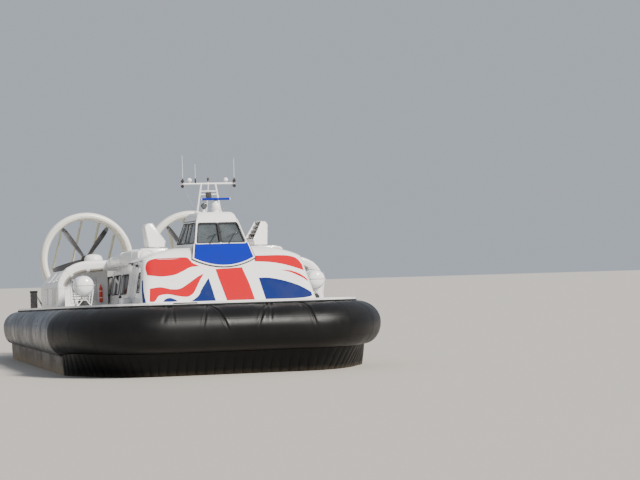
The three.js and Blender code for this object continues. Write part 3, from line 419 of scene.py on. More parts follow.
def finish(name, colour, shade=0.9, rough=(0.25, 0.4), metal=0.0, streak=0.25, worn=0.0, bare=0.35,
           dust=0.0, dust_high=1.0, patch=0.8, peel=60.0, bump=0.03, weave=0.0, threads=120.0, coat=0.0, gloss=0.5):
    made, tree, shader = new_material(name, Metallic=metal, Coat_Weight=coat, Specular_IOR_Level=gloss)
    uneven = use(tree, "uneven", Patch=patch, Fine=peel)
    paint = mixed(tree, uneven["Patches"], (*colour, 1), (*(c * shade for c in colour), 1))
    dull = ramp(tree, uneven["Patches"], 0.0, 1.0, *rough)
    if streak:
        paint = mixed(tree, use(tree, "streaks", Amount=streak)["Mask"], paint, GRIME)
    if worn:
        paint = mixed(tree, use(tree, "worn edges", Amount=worn)["Mask"], paint, (bare, bare, bare, 1))
    if dust:
        sandy = use(tree, "sand dust", Amount=dust, Height=dust_high)["Mask"]
        paint = mixed(tree, sandy, paint, SAND)
        dull = maths(tree, "ADD", dull, product(tree, sandy, 0.4), clamp=True)
    height = uneven["Peel"]
    if weave:
        height = maths(tree, "ADD", height, product(tree, use(tree, "weave", Threads=threads)["Height"], weave))
    feed(tree, shader["Base Color"], paint)
    feed(tree, shader["Roughness"], dull)
    feed(tree, shader["Normal"], node(tree, "Bump", {"Height": height, "Strength": 0.6, "Distance": bump}).outputs[0])
    return made


BAG = {"streak": 0.02, "peel": 28.0, "bump": 0.003, "weave": 0.25, "threads": 260.0}
white = finish("white_gloss", (0.83, 0.82, 0.8), 0.94, (0.2, 0.34), streak=0.2, worn=0.25, bump=0.001, coat=0.3)
shade_white = finish("white_shell", (0.8, 0.8, 0.79), 0.92, (0.3, 0.45), streak=0.3, bump=0.002)
cream = finish("cream_gloss", (0.8, 0.77, 0.68), 0.93, worn=0.2, bump=0.001)
# Darker grey-brown for the arch's inner face: painted shade under the arch.
arch_shade = finish("arch_painted_shade", (0.34, 0.31, 0.27), 0.75, (0.45, 0.6), streak=0.5, worn=0.2, bump=0.002)
rudder_cream = finish("rudder_cream", (0.74, 0.69, 0.48), 0.85, (0.3, 0.45), streak=0.35, worn=0.35, bump=0.001)
blue = finish("panel_blue", (0.003, 0.014, 0.3), 0.85, (0.14, 0.22), streak=0.03, bump=0.0006, gloss=0.4)
VINYL = {"rough": (0.17, 0.27), "patch": 1.6, "bump": 0.0008}
vinyl_red = finish("vinyl_red", (0.5, 0.004, 0.012), 0.9, **VINYL, streak=0.02, gloss=0.3)
vinyl_blue = finish("vinyl_blue", (0.007, 0.018, 0.12), 0.85, **VINYL, streak=0.03, gloss=0.35)
rubber = finish("skirt_rubber", (0.0045, 0.0042, 0.0042), 1.6, (0.33, 0.46), **BAG, dust=0.05, dust_high=0.6,
                gloss=0.2, patch=0.7)
hem_rubber = finish("bow_finger_rubber", (0.004, 0.004, 0.004), 1.6, (0.45, 0.6), **{**BAG, "streak": 0.03},
                    dust=0.1, dust_high=0.3, gloss=0.18, patch=1.2)
# Side and stern bags: the bluish grey base is a painted sky sheen, and the sandy lower part is partly real dust,
# partly a painted reflection of the ground.
side_rubber_dust_and_sheen = finish("side_rubber_dust_and_sheen", (0.02, 0.022, 0.028), 1.6, (0.27, 0.42), **{**BAG, "streak": 0.18, "bump": 0.004},
                     dust=0.42, dust_high=1.45, patch=0.9)
sandy_rubber = finish("finger_rubber", (0.2, 0.18, 0.16), 0.6, (0.55, 0.75), streak=0.6, dust=0.75, dust_high=0.9,
                      patch=1.5, peel=20.0, bump=0.006, weave=0.3, threads=200.0)
seal = finish("seal_rubber", (0.012, 0.012, 0.013), 1.4, (0.5, 0.65), streak=0.1, bump=0.001, gloss=0.25)
alloy = finish("bare_alloy", (0.5, 0.51, 0.52), 0.85, (0.3, 0.5), metal=0.85, streak=0.35, worn=0.2, bare=0.7,
               bump=0.002)
grey = finish("grey_satin", (0.2, 0.205, 0.21), 0.8, (0.4, 0.6), streak=0.35, worn=0.4, bump=0.002)
dark = finish("dark_fitting", (0.025, 0.024, 0.024), 1.6, (0.35, 0.5), streak=0.15, worn=0.3, bare=0.2, bump=0.001)
brown = finish("lamp_bronze", (0.1, 0.045, 0.02), 0.7, (0.3, 0.45), streak=0.1, worn=0.3, bump=0.001)
composite = finish("blade_composite", (0.022, 0.022, 0.024), 1.5, (0.3, 0.42), streak=0.1, worn=0.5, bare=0.3,
                   bump=0.001)
grip = finish("deck_grip", (0.5, 0.51, 0.51), 0.85, (0.6, 0.8), streak=0.3, peel=260.0, bump=0.012)
fabric = finish("seat_fabric", (0.035, 0.07, 0.19), 0.75, (0.75, 0.9), streak=0, patch=4.0, peel=180.0, bump=0.004,
                weave=0.6, threads=700.0)
raft_white = finish("raft_plastic", (0.84, 0.84, 0.83), 0.95, (0.15, 0.28), streak=0.15, bump=0.001, coat=0.4)
orange = finish("safety_red", (0.75, 0.06, 0.03), 0.8, (0.35, 0.5), streak=0.2, bump=0.001)
# Near-black finish for sheets that stand in for shadow inside holes and recesses.
shadow = finish("painted_shadow_finish", (0.012, 0.012, 0.013), 1.3, (0.6, 0.8), streak=0, bump=0.001)
print("finishes", len(bpy.data.materials))

# %% [markdown]
# Tinted glass is a mix of a dark clear body and a strong gloss. Real panes show a little
# dirt at their edges and the dark cabin behind, so the glass lets some light through.

# %% Glass
def glass(name, tint, clear):
    made, tree, shader = new_material(name, Transmission_Weight=clear, Metallic=0.0, IOR=1.5)
    smear = use(tree, "uneven", Patch=1.4, Fine=5.0)
    feed(tree, shader["Base Color"], mixed(tree, smear["Patches"], (*tint, 1), (*(c * 1.6 for c in tint), 1)))
    feed(tree, shader["Roughness"], ramp(tree, smear["Peel"], 0.4, 0.8, 0.03, 0.12))
    return made


tinted = glass("tinted_pane", (0.03, 0.033, 0.036), 0.35)
screen = glass("windscreen_pane", (0.1, 0.115, 0.12), 0.55)

# %% Each slot's finishes, and the CAD pieces that stay
SLOTS = {"skirt": [rubber, hem_rubber, side_rubber_dust_and_sheen], "finger_side": [sandy_rubber], "blue_paint": [blue],
         "white_paint": [white, shade_white], "flag_paint": [vinyl_red, vinyl_blue],
         "cream_paint": [cream, rudder_cream],
         "window": [tinted, screen], "seat_fabric": [fabric], "grey_paint": [grey, arch_shade], "blade": [composite],
         "lamp_body": [dark, brown], "raft_shell": [raft_white]}
SLOT_OF = {made.name: slot for slot, row in SLOTS.items() for made in row}
CAD_FINISH = {slot: row[0] for slot, row in SLOTS.items()} | {"hull": alloy, "deck": grip, "flag_paint": white}
for row in frame["record"]["subparts"]:
    solid = frame["nodes"][row["node"]]
    solid.data.materials.clear()
    solid.data.materials.append(CAD_FINISH[row["material_slot"]])
frame["nodes"]["wheelhouse_glazing"].data.materials[0] = screen
print("CAD pieces finished", len(frame["nodes"]))

# %% [markdown]
# ## The inflated skirt
# A hovercraft's skirt is coated fabric: a bag blown up by the lift fans, and under it a
# row of open fingers that touch the ground. The bag hangs from the deck's edge, so its
# surface is a section carried round that edge. Cloth simulation could blow it up, but a
# 24 m bag needs far more points than its few creases do, so they are put in by formula.

# %% The deck's edge as a path
FLAT, HALF, CORNER_Y = 2.63, 5.45, -6.3
STERN_Y, STERN_R, HULL_IN = 11.07, 2.3, -0.6


def deck_edge(stations):
    """Points and outward directions. Station 0 to 1 is the flat bow, 1 to 2 a quarter
    ellipse, 2 to 3 the side, 3 to 4 a quarter circle, 4 to 5 half the stern. Minus is starboard."""
    side, t = np.where(stations < 0, -1, 1), np.abs(stations)
    wide, deep, stern = HALF - FLAT, CORNER_Y - DECK_BOW[0], STERN_Y - STERN_R
    s, c, one = np.sin(t % 1 * np.pi / 2), np.cos(t % 1 * np.pi / 2), np.ones_like(t)
    stretches = [(FLAT * t, DECK_BOW[0] * one, 0 * one, -one),
                 (FLAT + wide * s, CORNER_Y - deep * c, s / wide, -c / deep),
                 (HALF * one, CORNER_Y + (t - 2) * (stern - CORNER_Y), one, 0 * one),
                 (HALF - STERN_R * (1 - c), stern + STERN_R * s, c, s),
                 ((HALF - STERN_R) * (5 - t), STERN_Y * one, 0 * one, one)]
    x, y, nx, ny = (np.select([t <= 1, t < 2, t <= 3, t < 4, t >= 4], column) for column in zip(*stretches))
    return xyz(side * x, y), unit(xyz(nx, ny)) * xyz(side, one)


fine = np.concatenate([np.linspace(*stretch) for stretch in (
    (-5, -4.001, 60), (-3.999, -3.001, 120), (-2.999, 2.999, 1800), (3.001, 3.999, 120), (4.001, 5, 60))])
run = np.concatenate([[0], np.cumsum(np.linalg.norm(np.diff(deck_edge(fine)[0], axis=0), axis=1))])
run -= np.interp(0, fine, run)
metres_at = lambda stations: np.interp(stations, fine, run)
station_at = lambda metres: np.interp(metres, run, fine)


def stations_between(first, last, spacing):
    """Stations a steady distance apart along the edge."""
    a, b = metres_at([first, last])
    return station_at(np.linspace(a, b, max(2, int(abs(b - a) / spacing) + 1)))


print("edge length", round(float(run[-1] - run[0]), 2), "m")

# %% Skirt tables: station, bulge, widest height, finger line, its place out, hem's place out
BOW_END = 1.93
BOW_TABLE = np.array([
    [0, 1.0, 1.64, 0.84, 0.25, -0.34], [1.2, 1.0, 1.64, 0.84, 0.25, -0.34], [1.5, 0.94, 1.64, 0.84, 0.25, -0.25],
    [1.7, 0.9, 1.64, 0.84, 0.27, -0.1], [1.77, 0.905, 1.64, 0.83, 0.29, 0.06], [1.84, 0.925, 1.63, 0.8, 0.33, 0.18],
    [1.875, 0.945, 1.62, 0.785, 0.33, 0.2], [1.91, 0.89, 1.6, 0.77, 0.33, 0.21],
    [1.925, 0.76, 1.59, 0.765, 0.33, 0.22], [BOW_END, 0.6, 1.58, 0.76, 0.33, 0.22]])
REST_TABLE = np.array([
    [BOW_END, 0.59, 1.5, 0.7, 0.33, 0.22], [3, 0.63, 1.41, 0.7, 0.33, 0.22], [3.5, 0.76, 1.41, 0.7, 0.3, 0.12],
    [4, 0.85, 1.41, 0.7, 0.25, 0.05], [5, 0.85, 1.41, 0.7, 0.25, 0.05]])
PINCHES = [  # along the edge, slope sideways as it goes down, length, depth
    (-2.49, -0.26, 1.2, 0.06), (-2.43, -0.05, 1.2, 0.045), (-1.078, 0.34, 1.5, 0.07), (-1.1, -0.28, 1.55, 0.05),
    (1.1, -0.44, 1.45, 0.07), (1.22, -0.2, 1.2, 0.045), (2.33, 0.2, 1.45, 0.065), (2.28, -0.12, 0.9, 0.035),
    (-5.2, -0.25, 0.8, 0.02), (5.4, 0.3, 0.9, 0.025), (7.2, 0.25, 0.8, 0.02), (-7.4, -0.25, 0.7, 0.02)]


def skirt_numbers(table, stations):
    return [np.interp(np.abs(stations), table[:, 0], column)[:, None] for column in table.T[1:]]


def creases(along, down):
    """How far the bag is pulled in: a narrow valley along each crease that fades on its way
    down, a soft dip round each pinch point, and faint upright wrinkles near the deck."""
    pulled = np.zeros(np.broadcast(along, down).shape)
    for start, slope, length, depth in PINCHES:
        off = along - start - slope * down
        valley = np.exp(-np.abs(off / 0.032) ** 1.4) - 0.3 * np.exp(-((np.abs(off) - 0.08) / 0.04) ** 2)
        fade = np.clip(1 - down / length, 0, 1) ** 0.7 * np.clip(down / 0.12, 0, 1)
        dip = 0.3 * np.exp(-((along - start) / 0.4) ** 2 - ((down - 0.3) / 0.3) ** 2)
        pulled += depth * (valley * fade + dip)
    wrinkle = np.sin(along * 9.1 + 1.7 * np.sin(along * 1.3)) * np.sin(along * 2.3 + 0.5)
    return pulled + 0.01 * wrinkle * np.exp(-down / 0.3)


def bag_points(table, stations, lift=0.0):
    """Section of two quarter ellipses, from the deck's edge out to the widest height and
    back in to the finger line. Each point moves along the section's own normal by the
    crease depth. With a lift it gives the same skin a little further out."""
    at, out = deck_edge(stations)
    bulge, widest, line, line_out, _ = skirt_numbers(table, stations)
    top = deck_z(at[:, 1])[:, None] - 0.063
    turn = np.linspace(0, np.pi / 2, 26)[None]
    upper = xyz(bulge * np.sin(turn), widest + (top - widest) * np.cos(turn))
    lower = xyz(line_out + (bulge - line_out) * np.cos(turn), widest - (widest - line) * np.sin(turn))[:, 1:]
    section = np.concatenate([upper, lower], 1)
    way = np.gradient(section, axis=1)
    down = np.cumsum(np.linalg.norm(np.diff(section, axis=1, prepend=section[:, :1]), axis=-1), 1)
    push = lift - creases(metres_at(stations)[:, None], down)
    return at, out, section + unit(xyz(-way[..., 1], way[..., 0])) * push[..., None]


def around_edge(at, out, section):
    """Points (out, up) of a section set square to the deck's edge."""
    return np.concatenate([at[:, None] + out[:, None] * section[..., :1], section[..., 1:]], -1)


def bag(table, stations):
    at, out, section = bag_points(table, stations)
    top = xyz(HULL_IN + 0.001, deck_z(at[:, 1] - out[:, 1] * HULL_IN) - 0.07)[:, None]
    low = xyz(HULL_IN + 0.001, np.full((len(at), 1), 1.18))
    return skin(around_edge(at, out, np.concatenate([top, section, low], 1)))


bow_middle = station_at(np.arange(-3.4, 3.41, 0.028))
bow_rest = stations_between(bow_middle[-1], BOW_END, 0.07)[1:]
bow_stations = np.concatenate([-bow_rest[::-1], bow_middle, bow_rest])
piece("bow_bag_skin", bag(BOW_TABLE, bow_stations), rubber, replaces=["bow_bag"], smooth=80)
half_stern = stations_between(3.0003, 5, 0.1)
stern_stations = np.concatenate([half_stern, -half_stern[-2::-1]])
piece("stern_bag_skin", bag(REST_TABLE, stern_stations), side_rubber_dust_and_sheen, replaces=["stern_bag"], smooth=80)
for name, side in SIDES:
    shape = bag(REST_TABLE, side * stations_between(1.9303, 2.9997, 0.12))
    piece("side_bag_skin_" + name, shape, side_rubber_dust_and_sheen, replaces=["side_bag_" + name], smooth=80)

# %% [markdown]
# The bag is glued up from strips of fabric, so tapes cover its joints. They are the same
# skin lifted by 4 mm over a narrow band, which keeps them on the surface in every crease.

# %% Joint tapes and the clamping strip under the deck's rim
def tape(table, stations, low, high):
    """Band of the skin between two rows of its section, from 4 mm inside it to 4 mm outside."""
    outer, inner = (around_edge(*bag_points(table, stations, lift))[:, low:high + 1] for lift in (0.004, -0.004))
    return skin(np.concatenate([outer, inner[:, ::-1]], 1))


def level_tapes(table, stations, rows):
    return [tape(table, stations, row, row + 1) for row in rows]


def upright_tapes(table, stations, width=0.07):
    """On both sides, one tape at each station."""
    edges = [station_at(metres_at(t) + width * np.array([-0.5, 0, 0.5])) for t in stations]
    return [tape(table, side * edge, 1, 49) for side in (1, -1) for edge in edges]


tapes = level_tapes(BOW_TABLE, bow_stations[1:-1], (17, 33))
tapes += upright_tapes(BOW_TABLE, station_at(np.arange(3.6, 8.4, 1.2)))
piece("bow_bag_tapes", tapes, rubber, smooth=60)
tapes = upright_tapes(REST_TABLE, [*np.linspace(2.02, 2.96, 11), *np.linspace(3.1, 4.9, 8)])
for stations in (stations_between(1.94, 2.99, 0.2), -stations_between(1.94, 2.99, 0.2), stern_stations[1:-1]):
    tapes += level_tapes(REST_TABLE, stations, (18, 34))
piece("side_bag_tapes", tapes, side_rubber_dust_and_sheen, smooth=60)

at, out = deck_edge(np.concatenate([stations_between(a, a + 5, 0.15)[:-1] for a in (-5, 0)]))
strip = [(0.002, -0.055), (0.012, -0.05), (0.012, -0.012), (0.002, -0.006)] + xyz(0, deck_z(at[:, 1]))[:, None]
shapes = [grid(around_edge(at, out, strip), wrap_u=True, wrap_v=True)]
at, out = deck_edge(stations_between(-4.98, 4.98, 0.32))
for start, way in zip(xyz(*at.T, deck_z(at[:, 1]) - 0.031), xyz(*out.T, 0)):
    shapes.append(rod(start + way * 0.01, start + way * 0.022, 0.011, 6))
piece("skirt_clamp_strip", shapes, seal, slot="skirt")

# %% [markdown]
# Each finger is an open scoop of fabric. Side by side they make a scalloped wall with a
# deep groove between two scoops. The wall's outer face swells by the root of a sine, which
# has its steep ends at the grooves, and the hem on the ground stays in its plane.

# %% Fingers
def finger_wall(table, first, last, width):
    a, b = metres_at([first, last])
    count = max(2, int(round(abs(b - a) / width)))
    along = np.linspace(0, count, count * 8 + 1)
    stations = station_at(a + (b - a) * along / count)
    swell = 0.05 * np.sqrt(np.abs(np.sin(np.pi * along)))[:, None]
    _, _, line, line_out, hem = skirt_numbers(table, stations)
    rows = np.linspace(0, 1, 7)[None]
    swell = swell * (0.25 + 0.75 * np.sin(np.pi * np.minimum(rows * 0.75, 0.5)))
    front = xyz(line_out - 0.03 + (hem - line_out + 0.03) * rows + swell, (line - 0.012) * (1 - rows))
    section = np.concatenate([front, xyz(hem - 0.09, 0), xyz(line_out - 0.4, line + 0.15)], 1)
    return skin(around_edge(*deck_edge(stations), section))


piece("bow_finger_row", finger_wall(BOW_TABLE, -BOW_END, BOW_END, 0.34), hem_rubber,
      replaces=["bow_fingers"], smooth=40)
piece("stern_finger_row", twice(finger_wall(REST_TABLE, 3.0003, 5, 0.42)), sandy_rubber,
      replaces=["stern_fingers"], smooth=40)
pair("side_finger_row", finger_wall(REST_TABLE, 1.9303, 2.9997, 0.42), sandy_rubber, "side_fingers", smooth=40)

# %% [markdown]
# ## The cabin's nose and roof
# The cabin is a light-alloy box with a raked front and a wide soft shoulder. The real one
# is bent sheet on frames. Here rings with rounded corners are stacked like contour lines,
# each a little further in, because a ring is one formula at every height.

# %% Rings of the cabin
CABIN_LEVELS = np.array([  # height above the deck, inset at the sides, inset at the ends
    [0, 0, 0], [0.85, 0, 0], [1.66, 0, 0], [1.74, 0.12, 0.025], [1.83, 0.32, 0.06], [1.93, 0.62, 0.13],
    [2.01, 0.93, 0.23], [2.055, 1.2, 0.35], [2.07, 1.4, 0.52]])
FRONT, RAKE, REAR, LEAN, CORNER, SHEET, CABIN_HALF, SHOULDER = -9.985, 0.7, 2.6, 0.165, 0.32, 0.06, 3.25, 1.66


def smooth_line(rows, count):
    """Curve through the rows: each stretch is the cubic that leaves and meets its ends in
    the direction of their neighbours (Catmull-Rom), read at even steps of the row number."""
    rows = np.asarray(rows, float)
    padded = np.concatenate([2 * rows[:1] - rows[1:2], rows, 2 * rows[-1:] - rows[-2:-1]])
    t = np.linspace(0, len(rows) - 1, count)
    i = np.minimum(t.astype(int), len(rows) - 2)
    f = (t - i)[:, None]
    a, b, c, d = (padded[i + k] for k in range(4))
    return 0.5 * (2 * b + (c - a) * f + (2 * a - 5 * b + 4 * c - d) * f**2 + (3 * b - a - 3 * c + d) * f**3)


def plan_ring(front, rear, half, radius, height):
    """Rounded rectangle seen from above at one height, starting at the port bow corner."""
    x, low, high = half - radius, front + radius, rear - radius
    flat = corner_ring((x, x, -x, -x), (low, high, high, low), radius, 9, first=-0.5)
    return np.column_stack([flat, np.full(len(flat), height)])


def cabin_ring(height, side_in, end_in, grow=0.0):
    half = CABIN_HALF - LEAN * min(height, SHOULDER) - side_in + grow
    front = FRONT + RAKE * height + end_in - grow * math.hypot(1, RAKE)
    return plan_ring(front, REAR - end_in + grow, half, CORNER, height + grow * (height > SHOULDER))


levels = smooth_line(CABIN_LEVELS[2:], 19)
LEVELS = np.concatenate([CABIN_LEVELS[:2], levels]).T
roof = on_deck(skin([cabin_ring(*row, grow=-SHEET) for row in levels[::-1]] + [cabin_ring(*row) for row in levels]))


def nose_skin(across, height, lift=0.0):
    """Point of the nose for a distance across, measured along the skin, and a height. The
    middle is the raked plane; past it the skin turns a quarter circle and runs aft."""
    half = CABIN_HALF - LEAN * np.minimum(height, SHOULDER) - np.interp(height, LEVELS[0], LEVELS[1])
    front = FRONT + RAKE * height + np.interp(height, LEVELS[0], LEVELS[2])
    past = np.clip(np.abs(across) - (half - CORNER), 0, None)
    turn = np.minimum(past / CORNER, np.pi / 2)
    x = np.minimum(np.abs(across), half - CORNER) + (CORNER + lift) * np.sin(turn)
    y = front + CORNER - (CORNER + lift * math.hypot(1, RAKE)) * np.cos(turn)
    y = y + np.clip(past - CORNER * np.pi / 2, 0, None)
    return xyz(np.sign(across) * x, y, deck_z(y) + height + lift * (height > SHOULDER))


def sandwich(outer, inner):
    """Closed shape between two grids of the same size: both faces and the four edges."""
    rows, cols = outer.shape[:2]
    index, count = np.arange(rows * cols).reshape(rows, cols), rows * cols
    around = np.concatenate([index[0, :-1], index[:-1, -1], index[-1, :0:-1], index[:0:-1, 0]])
    after = np.roll(around, -1)
    edge = xyz(around, after, after + count, around + count).tolist()
    top, low = grid(outer), grid(inner)
    return np.concatenate([top[0], low[0]]), top[1] + [[k + count for k in f[::-1]] for f in low[1]] + edge


heights = np.linspace(0.001, SHOULDER, 24)
cut = np.interp(heights, [0, 0.09, 1.6], [-9.24, -9.24, -8.68])
total = CABIN_HALF - LEAN * heights + CORNER * (np.pi / 2 - 1)
total = total + np.clip(cut - FRONT - RAKE * heights - CORNER, 0, None)
share = np.concatenate([np.linspace(0, 0.8, 14), np.linspace(0.8, 1, 16)[1:]])
across = np.concatenate([-share[:0:-1], share]) * total[:, None]
nose = sandwich(*(nose_skin(across, heights[:, None], lift) for lift in (0, -SHEET)))
piece("cabin_shell", [nose, roof], white, replaces=["cabin_nose", "cabin_roof"], smooth=50)

# %% [markdown]
# The waves on the nose are a national flag's colours, laid on in sheets of vinyl. Each
# sheet is a strip between two drawn curves, wrapped on the nose's skin and a little
# thicker than the real film. A painted texture would blur at this size; a cut edge doesn't.

# %% Vinyl waves: two curves each, as (across, height above the ground)
RED_WAVES = [
    ([(-2.96, 3.84), (-2.91, 4.0), (-2.78, 4.13), (-2.54, 4.19), (-2.24, 4.2), (-1.81, 4.21), (-1.4, 4.21),
      (-1.28, 4.13), (-1.18, 4.0), (-0.96, 3.89)],
     [(-2.92, 3.6), (-2.62, 3.56), (-2.35, 3.54), (-1.92, 3.59), (-1.56, 3.73), (-1.29, 3.85), (-0.96, 3.88)]),
    ([(-2.9, 3.12), (-2.67, 3.15), (-2.5, 3.16), (-2.3, 3.12), (-2.14, 3.08), (-1.8, 3.09), (-1.43, 3.29),
      (-1.1, 3.49), (-0.84, 3.61)],
     [(-2.98, 2.66), (-2.8, 2.66), (-2.68, 2.79), (-2.57, 2.87), (-2.27, 2.9), (-1.93, 2.83), (-1.6, 2.79),
      (-1.4, 2.87), (-1.27, 3.0), (-1.03, 3.36), (-0.84, 3.6)]),
    ([(-0.38, 3.76), (-0.33, 3.46), (-0.27, 3.18), (-0.16, 2.62)],
     [(0.62, 3.8), (0.71, 3.46), (0.78, 3.2), (0.88, 2.62)]),
    ([(1.13, 4.21), (1.62, 4.21), (2.05, 4.21), (2.45, 4.18), (2.74, 4.08), (2.94, 3.84)],
     [(1.15, 4.0), (1.49, 3.98), (1.79, 3.95), (2.12, 3.89), (2.41, 3.81), (2.65, 3.73), (2.95, 3.62)]),
    ([(2.1, 3.67), (2.33, 3.65), (2.5, 3.61), (2.7, 3.53), (2.84, 3.44), (3.02, 3.3)],
     [(2.1, 3.66), (2.32, 3.6), (2.48, 3.54), (2.68, 3.44), (2.84, 3.35), (3.02, 3.22)])]
BLUE_WAVES = [
    ([(-2.49, 2.655), (-2.38, 2.74), (-2.21, 2.77), (-2.05, 2.71), (-1.97, 2.655)],
     [(-2.49, 2.64), (-2.38, 2.635), (-2.21, 2.63), (-2.05, 2.635), (-1.97, 2.64)]),
    ([(-0.69, 3.45), (-0.88, 3.22), (-1.04, 3.02), (-1.13, 2.87), (-1.25, 2.76), (-1.48, 2.62)],
     [(-0.69, 3.44), (-0.65, 3.2), (-0.62, 3.0), (-0.57, 2.62)]),
    ([(1.17, 3.4), (1.46, 3.4), (1.7, 3.37), (2.12, 3.27), (2.57, 3.11), (2.86, 2.95), (3.06, 2.82)],
     [(1.28, 2.62), (1.7, 2.62), (2.3, 2.62), (2.75, 2.64), (3.06, 2.7)]),
    ([(-3.22, 3.42), (-3.28, 3.05), (-3.27, 2.62)], [(-3.13, 3.42), (-3.16, 3.05), (-3.12, 2.62)])]
NOSE_BASE, NOSE_RISE = 2.534, 0.985


def vinyl(first, second):
    """Strip between two smooth curves, each read at even steps, laid 3 mm proud of the skin."""
    a, b = (smooth_line(curve, 48)[:, None] for curve in (first, second))
    s = np.linspace(0, 1, 9)[None, :, None]
    flat = a * (1 - s) + b * s
    height = (flat[..., 1] - NOSE_BASE) / NOSE_RISE
    return sandwich(*(nose_skin(flat[..., 0], height, lift) for lift in (0.003, -0.003)))


for colour, film, waves in (("red", vinyl_red, RED_WAVES), ("blue", vinyl_blue, BLUE_WAVES)):
    piece("flag_waves_" + colour, [vinyl(*curves) for curves in waves], film, smooth=60)

# %% [markdown]
# ## Panel under the windscreen
# A blue panel with a curved lower edge closes the front under the windscreen. A white
# frame follows that edge, and below it a dark band is painted shadow under the panel's edge.
# All three are plates cut from one outline drawn on the raked plane, so the frame keeps its width all round.

# %% Panel, frame and a painted shadow line
PLANE = RAKE / (1 - RAKE * DECK_FALL)
SLOPE = math.hypot(1, PLANE)
HOUSE_Z, HOUSE_FALL = 4.158, 0.2383
NOSE_FOOT = (0, -8.831, HOUSE_Z)
CHIN_SIDE, CHIN_DROP, SILL = 4.15, 0.275, 4.705
raked = wall_at((1, 0, 0), (0, PLANE, 1), NOSE_FOOT)
house_half = lambda z: 1.112 - HOUSE_FALL * (z - HOUSE_Z)
on_plane = lambda x, z: xyz(x, (z - HOUSE_Z) * SLOPE)
x = np.linspace(-1, 1, 33) * house_half(CHIN_SIDE)
top = SILL - 0.025
chin = np.concatenate([on_plane(x, CHIN_SIDE - CHIN_DROP * (1 - (x / x[-1]) ** 2)),
                       on_plane(np.array([1, -1]) * house_half(top), top)])


def band(near, far, low, high, edge):
    """Plate between two distances outside the panel's outline, cut off level at its top."""
    inner, outer = (inset(chin, -distance) for distance in (near, far))
    for ring in (inner, outer):
        ring[:, 1] = np.minimum(ring[:, 1], chin[:, 1].max())
    return plate(outer, low, high, raked, edge, hollow=inner)


piece("chin_plate", plate(chin, 0.001, 0.0405, raked, 0.008), blue, replaces=["chin_panel"])
piece("chin_frame", band(0.0, 0.055, 0.004, 0.048, 0.006), white)
# Dark band outside the frame: painted shadow under the panel's edge.
piece("chin_shadow_line", band(0.055, 0.088, 0.003, 0.026, 0.005), seal, slot="white_paint")

# %% [markdown]
# ## Window frames and the wheelhouse
# Every pane sits in a rubber frame with round corners, pressed over the sheet's edge. A
# frame is a plate with a hole, drawn in the plane of its own wall, so one function makes
# them all. Modelling the pane's rebate in each wall would do the same with far more points.

# %% Frames around panes
def pane_frame(corners, wall, width=0.035, radius=0.08):
    """Rubber frame that covers the edge of a hole: 12 mm over the pane, the rest outside."""
    corners = np.asarray(corners, float)
    outer = soft_corners(inset(corners, -width), radius + width / 2)
    return plate(outer, 0.0005, 0.012, wall, 0.004, hollow=soft_corners(inset(corners, 0.012), radius))


def house_quad(place, first, last, low=4.735, high=5.46):
    """Corners of a pane between two shares of its wall and two heights."""
    return [place(first, low), place(last, low), place(last, high), place(first, high)]


house_front = wall_at((1, 0, 0), (0, PLANE, 1), (0, -8.881, HOUSE_Z))
house_side = wall_at((0, 1, 0), (-HOUSE_FALL, 0, 1), (1.112, 0, HOUSE_Z))
HOUSE_LEAN = math.hypot(1, HOUSE_FALL)
front_line = lambda z: -8.881 + 0.71068 * (z - HOUSE_Z)
rear_line = lambda z: -4.75 - 0.77 * (z - 4.53)
on_front = lambda share, z: (share * (house_half(z) - 0.07), (z - HOUSE_Z) * SLOPE)
on_side = lambda share, z: (front_line(z) + (rear_line(z) - front_line(z)) * share, (z - HOUSE_Z) * HOUSE_LEAN)
frames = [pane_frame(house_quad(on_front, *shares), house_front, 0.02) for shares in ((0.04, 1), (-1, -0.04))]
frames.append(plate(house_quad(on_front, -0.06, 0.06), 0.001, 0.016, house_front, 0.005))
frames += twice(*(pane_frame(house_quad(on_side, *shares), house_side) for shares in ((0.06, 0.49), (0.53, 0.94))))
piece("wheelhouse_pane_frames", frames, seal)

# %% Wipers, with their arms parked low
at = lambda x, z, off: on_wall(house_front, (x, (z - HOUSE_Z) * SLOPE, off))
wipers = []
for pivot, tip in ((-0.42, -0.05), (0.3, 0.66)):
    wipers += [rod(at(pivot, 4.7, 0.004), at(pivot, 4.7, 0.045), 0.022),
               rod(at(pivot, 4.7, 0.038), at(tip - 0.12, 5.02, 0.046), 0.01, 8),
               rod(at(tip - 0.4, 4.93, 0.034), at(tip + 0.14, 5.12, 0.034), 0.011, 8),
               rod(at(tip - 0.13, 5.02, 0.03), at(tip - 0.13, 5.02, 0.055), 0.014, 8)]
piece("wipers", wipers, seal, slot="lamp_body")

# %% Wheelhouse roof: rings that step in like the cabin's
ROOF_LEVELS = mm(5600, 0, 5740, 10, 5810, 35, 5860, 80, 5880, 150, 5881, 300)
rings = [plan_ring(front_line(z) + cut, rear_line(z) - cut, house_half(z) - cut, 0.07, z)
         for z, cut in [(5.5603, 0), *smooth_line(ROOF_LEVELS, 16)]]
piece("wheelhouse_roof_shell", skin(rings), white, replaces=["wheelhouse_roof"], smooth=45)

# %% Grey panel, rain gutter, foot moulding and screen pillars
panel = plate(house_quad(on_side, 0.1, 0.9, 4.36, 4.63), 0.0005, 0.01, house_side, 0.003)
piece("wheelhouse_side_panels", twice(panel), shade_white)


def house_line(z, out, front, rear, radius):
    """Moulding along the wheelhouse's side at one height."""
    x = house_half(z) + out
    return rod((x, front_line(z) + front, z), (x, rear_line(z) - rear, z), radius, 8)


